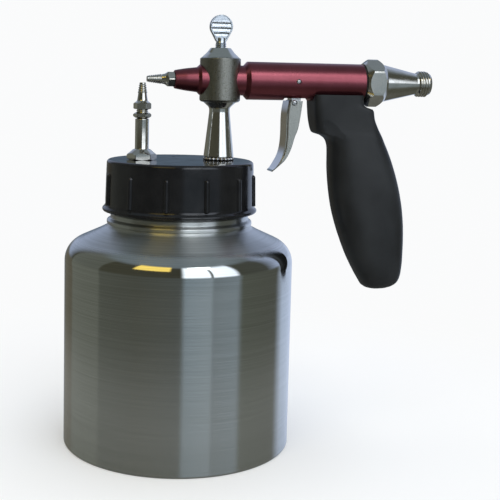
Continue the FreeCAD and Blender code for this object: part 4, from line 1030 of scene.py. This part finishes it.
def slope_at(points, index):
    """Slope of the smooth curve at one of its points. It is level where the values turn back."""
    near = points[max(index - 1, 0):index + 2]
    slopes = [(b[1] - a[1]) / (b[0] - a[0]) for a, b in zip(near, near[1:])]
    if len(slopes) == 1:
        return slopes[0]
    before, after = slopes
    return 2 * before * after / (before + after) if before * after > 0 else 0.0


def smooth_table(points, height):
    """The value at a height on a smooth curve through (height, value) points, which never overshoots them."""
    index = 0
    while index < len(points) - 2 and points[index + 1][0] < height:
        index += 1
    (low, first), (high, second) = points[index], points[index + 1]
    room = high - low
    share = min(max((height - low) / room, 0.0), 1.0)
    start, end = slope_at(points, index), slope_at(points, index + 1)
    square = 3 * (second - first) - room * (2 * start + end)
    cube = room * (start + end) - 2 * (second - first)
    return first + share * (start * room + share * (square + share * cube))


def make_grip():
    """Moulded palm grip: flat-sided saddle round the barrel, finger hook in front, rounded palm behind."""
    columns = 128
    loops = []
    for height in levels_of(GRIP_FRONT):
        front, rear = smooth_table(GRIP_FRONT, height), smooth_table(GRIP_REAR, height)
        half = smooth_table(GRIP_HALF, height)
        power = 2 / value_at(GRIP_SQUARE, height)
        centre, reach = (front + rear) / 2, (rear - front) / 2
        loop = []
        for angle in even_angles(columns):
            cosine, sine = math.cos(angle), math.sin(angle)
            loop.append((centre + reach * math.copysign(abs(cosine) ** power, cosine),
                         half * math.copysign(abs(sine) ** power, sine), height))
        loops.append(loop)
    mesh = loft(loops)
    barrel_room = placed(rod(9.6, -20, 30, 160), leaning((GRIP_LOW.x + 10, 0, GUN_Z), 90))
    nut_room = placed(rod(12.5, 0, 40, 160), leaning((RING_LOW.x - 0.6, 0, GUN_Z), 90))
    along = leaning((POST_X + LUG_BACK, 0, GUN_Z - LUG_DOWN), 180 - LUG_LEAN)
    lug_room = placed(rod(4.1, -1, 9.3, 64), along)
    hole = placed(rod(2.3, 5, 95, 48), along)
    counterbore = placed(rod(4.6, 92, 140, 64), along)
    scoops = []
    for side in (-1, 1):
        scoop = bmesh.new()
        bmesh.ops.create_uvsphere(scoop, u_segments=96, v_segments=64, radius=1)
        scoop.transform(Matrix.Translation((65.0, side * 14.4, 151.0)) @ Matrix.Diagonal((27, 5.7, 25, 1)))
        scoops.append(scoop)
    mesh = combined(mesh, [*scoops, barrel_room, nut_room, lug_room, hole, counterbore])
    piece("moulded_grip", mesh, GRIP_BLACK, "gun", ["grip"], crease=38)


# ---- materials of the CAD nodes that stay

KEPT_NODES = {
    STEEL: ["siphon_tube", "stem_nut", "post_screw_washer", "post_screw", "trigger_lever", "valve_stem",
            "grip_bolt_washer", "grip_bolt"],
    RUBBER: ["cap_gasket", "stem_washer", "tip_seal", "stem_packing", "valve_seal"],
    BRASS: ["thumb_screw_pad", "valve_body"],
}


def dress_kept_nodes():
    """Gives each CAD node that still shows its material."""
    for material, names in KEPT_NODES.items():
        for name in names:
            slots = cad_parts[name].data.materials
            slots.clear()
            slots.append(material)


# ---- floor, light and camera

# What the camera sees behind the object.
PALE = (0.96, 0.965, 0.97)


def make_floor():
    """Pale floor that takes a soft shadow near the cup and fades into the background."""
    mesh = bmesh.new()
    bmesh.ops.create_circle(mesh, cap_ends=True, radius=6, segments=96)
    floor = as_object(mesh, "floor")
    look = Shader("pale_floor", (0.9, 0.9, 0.9), 0.0, 0.8)
    length = look.node("VectorMath", operation="LENGTH")
    look.feed(length.inputs[0], look.place())
    distance = length.outputs["Value"]
    glow = look.node("Emission")
    look.feed(glow.inputs["Color"], PALE)
    plain, glowing = look.shader.outputs[0], glow.outputs[0]
    clear = look.node("BsdfTransparent").outputs[0]
    shown = look.mixed(look.ranged(distance, 0.09, 0.30, 0.25, 1), plain, glowing)
    mirrored = look.mixed(look.ranged(distance, 0.14, 0.30, 0.88, 1), plain, clear)
    seen = look.mixed(look.node("LightPath").outputs["Is Glossy Ray"], shown, mirrored)
    look.feed(look.tree.nodes["Material Output"].inputs["Surface"], seen)
    floor.data.materials.append(look.material)


# Studio walls by bearing, in degrees to the right of the camera as the object sees it, and their colours:
# first near the horizon and below it, then higher up, where the window is.
LOW_WALLS = [
    (-168, (0.16, 0.18, 0.2)), (-152, (0.15, 0.14, 0.11)), (-131, (0.13, 0.12, 0.09)),
    (-129, (0.17, 0.18, 0.155)), (-84, (0.155, 0.165, 0.14)), (-82, (0.105, 0.112, 0.095)),
    (-40, (0.09, 0.095, 0.08)), (4, (0.095, 0.105, 0.1)), (9, (0.24, 0.3, 0.35)), (34, (0.3, 0.36, 0.41)),
    (37, (0.2, 0.24, 0.27)), (62, (0.24, 0.29, 0.33)), (68, (0.11, 0.12, 0.1)), (116, (0.1, 0.105, 0.09)),
    (130, (0.56, 0.66, 0.86)), (165, (0.62, 0.72, 0.95)), (176, (0.16, 0.2, 0.26)),
]
HIGH_WALLS = [
    (-168, (0.46, 0.54, 0.74)), (-146, (0.34, 0.4, 0.54)), (-132, (0.07, 0.07, 0.05)),
    (-129, (0.15, 0.16, 0.14)), (-84, (0.13, 0.14, 0.12)), (-82, (0.07, 0.07, 0.05)),
    (4, (0.06, 0.06, 0.045)), (8, (1.7, 1.85, 2.05)), (33.5, (1.7, 1.85, 2.05)), (34, (0.1, 0.1, 0.09)),
    (36, (0.1, 0.1, 0.09)), (36.5, (1.7, 1.85, 2.05)), (60, (1.5, 1.65, 1.9)), (65, (0.08, 0.085, 0.07)),
    (100, (0.08, 0.085, 0.075)), (118, (0.42, 0.5, 0.7)), (165, (0.46, 0.54, 0.74)),
    (178, (0.12, 0.17, 0.23)),
]
CEILING = (0.20, 0.24, 0.27)
UNDER = (0.09, 0.095, 0.08)
WARM_PANEL = (1.5, 1.10, 0.26)
WALL_SCALE = 4

CAMERA_PLACE = (-0.087659, -0.487391, 0.181765)
CAMERA_YAW, CAMERA_PITCH, CAMERA_ROLL = 11.417, 5.999, 1.153


def bearing_share(bearing):
    """Place of a bearing on a ramp that starts and ends straight behind the object."""
    return min(max(0.5 + (bearing - CAMERA_YAW) / 360, 0.0), 1.0)


class Sky(Wiring):
    """The studio's world and its nodes."""

    def __init__(self):
        world = bpy.data.worlds.new("studio")
        bpy.context.scene.world = world
        world.use_nodes = True
        super().__init__(world.node_tree)

    def walls(self, share, stops):
        """Colours round the horizon, scaled down in the ramp and up after it, since some pass 1."""
        ramp = self.node("ValToRGB")
        elements = ramp.color_ramp.elements
        while len(elements) < len(stops):
            elements.new(0.5)
        for element, (bearing, colour) in zip(elements, stops):
            element.position = bearing_share(bearing)
            element.color = (*[part / WALL_SCALE for part in colour], 1)
        self.feed(ramp.inputs[0], share)
        scale = self.node("VectorMath", operation="SCALE")
        self.feed(scale.inputs[0], ramp.outputs[0])
        self.feed(scale.inputs["Scale"], WALL_SCALE)
        return scale.outputs[0]

    def mix(self, share, first, second):
        node = self.node("Mix", data_type="RGBA")
        for index, value in ((0, share), (6, first), (7, second)):
            self.feed(node.inputs[index], value)
        return node.outputs[2]


def make_world():
    """Studio room: dim walls, a tall window on the right, a warm panel on the left, pale behind."""
    sky = Sky()
    parts = sky.node("SeparateXYZ")
    sky.feed(parts.inputs[0], sky.node("TexCoord").outputs["Generated"])
    x, y, z = parts.outputs
    angle = sky.math("ARCTAN2", x, sky.math("MULTIPLY", y, -1))
    share = sky.math("MULTIPLY_ADD", angle, 0.5 / math.pi, 0.5)
    low_walls, high_walls = sky.walls(share, LOW_WALLS), sky.walls(share, HIGH_WALLS)
    colour = sky.mix(sky.ranged(z, 0.02, 0.10), low_walls, high_walls)
    left = sky.ranged(share, bearing_share(-50), bearing_share(-47))
    right = sky.ranged(share, bearing_share(-6), bearing_share(-9))
    lower, upper = sky.ranged(z, 0.50, 0.54), sky.ranged(z, 0.80, 0.76)
    panel = sky.math("MULTIPLY", sky.math("MULTIPLY", left, right), sky.math("MULTIPLY", lower, upper))
    colour = sky.mix(sky.ranged(z, 0.70, 0.80), colour, CEILING)
    colour = sky.mix(panel, colour, WARM_PANEL)
    colour = sky.mix(sky.ranged(z, -0.30, -0.55), colour, UNDER)
    seen = sky.mix(sky.node("LightPath").outputs["Is Camera Ray"], colour, PALE)
    sky.feed(sky.tree.nodes["Background"].inputs["Color"], seen)


def softbox(name, location, width, height, radiance, colour=(1, 1, 1)):
    """A soft rectangular light of a given brightness, aimed at the middle of the object."""
    light = bpy.data.lights.new(name, "AREA")
    light.shape = "RECTANGLE"
    light.size = width
    light.size_y = height
    light.energy = radiance * math.pi * width * height
    light.color = colour
    lamp = bpy.data.objects.new(name, light)
    lamp.location = location
    aim = Vector((0.03, 0, 0.12)) - Vector(location)
    lamp.rotation_euler = aim.to_track_quat("-Z", "Y").to_euler()
    bpy.context.scene.collection.objects.link(lamp)
    return lamp


def make_lights():
    """A key light high beside the window, and an overhead light that only brightens the matt surfaces."""
    softbox("key", (0.30, -1.15, 1.25), 0.55, 0.35, 2.5, (0.95, 0.98, 1.0))
    overhead = softbox("overhead", (0.1, 0.0, 1.6), 2.0, 2.0, 2.2)
    overhead.visible_glossy = False


def make_camera():
    """Camera in front of the object, a little to the left and slightly above."""
    camera = bpy.data.cameras.new("camera")
    camera.sensor_width = 36
    camera.lens = 71.4
    camera.shift_x = 0.0983
    camera.shift_y = -0.1291
    item = bpy.data.objects.new("camera", camera)
    yaw, pitch, roll = (math.radians(angle) for angle in (CAMERA_YAW, CAMERA_PITCH, CAMERA_ROLL))
    forward = Vector((math.sin(yaw) * math.cos(pitch), math.cos(yaw) * math.cos(pitch), -math.sin(pitch)))
    right = Vector((math.cos(yaw), -math.sin(yaw), 0))
    up = right.cross(forward)
    rolled_right = math.cos(roll) * right + math.sin(roll) * up
    rolled_up = math.cos(roll) * up - math.sin(roll) * right
    turn = Matrix((rolled_right, rolled_up, -forward)).transposed()
    item.matrix_world = Matrix.Translation(CAMERA_PLACE) @ turn.to_4x4()
    camera.clip_start = 0.01
    bpy.context.scene.collection.objects.link(item)
    bpy.context.scene.camera = item


make_camera()
make_world()
make_lights()
make_floor()
make_cup()
make_cap()
make_stem()
make_lock_nut()
make_fluid_tip()
make_star_washer()
make_post()
make_thumb_screw()
make_barrel()
make_air_tip()
make_connector()
make_connector_ring()
make_trigger()
make_pins()
make_valve_spring()
make_grip()
dress_kept_nodes()
bpy.context.scene.view_settings.view_transform = "Standard"
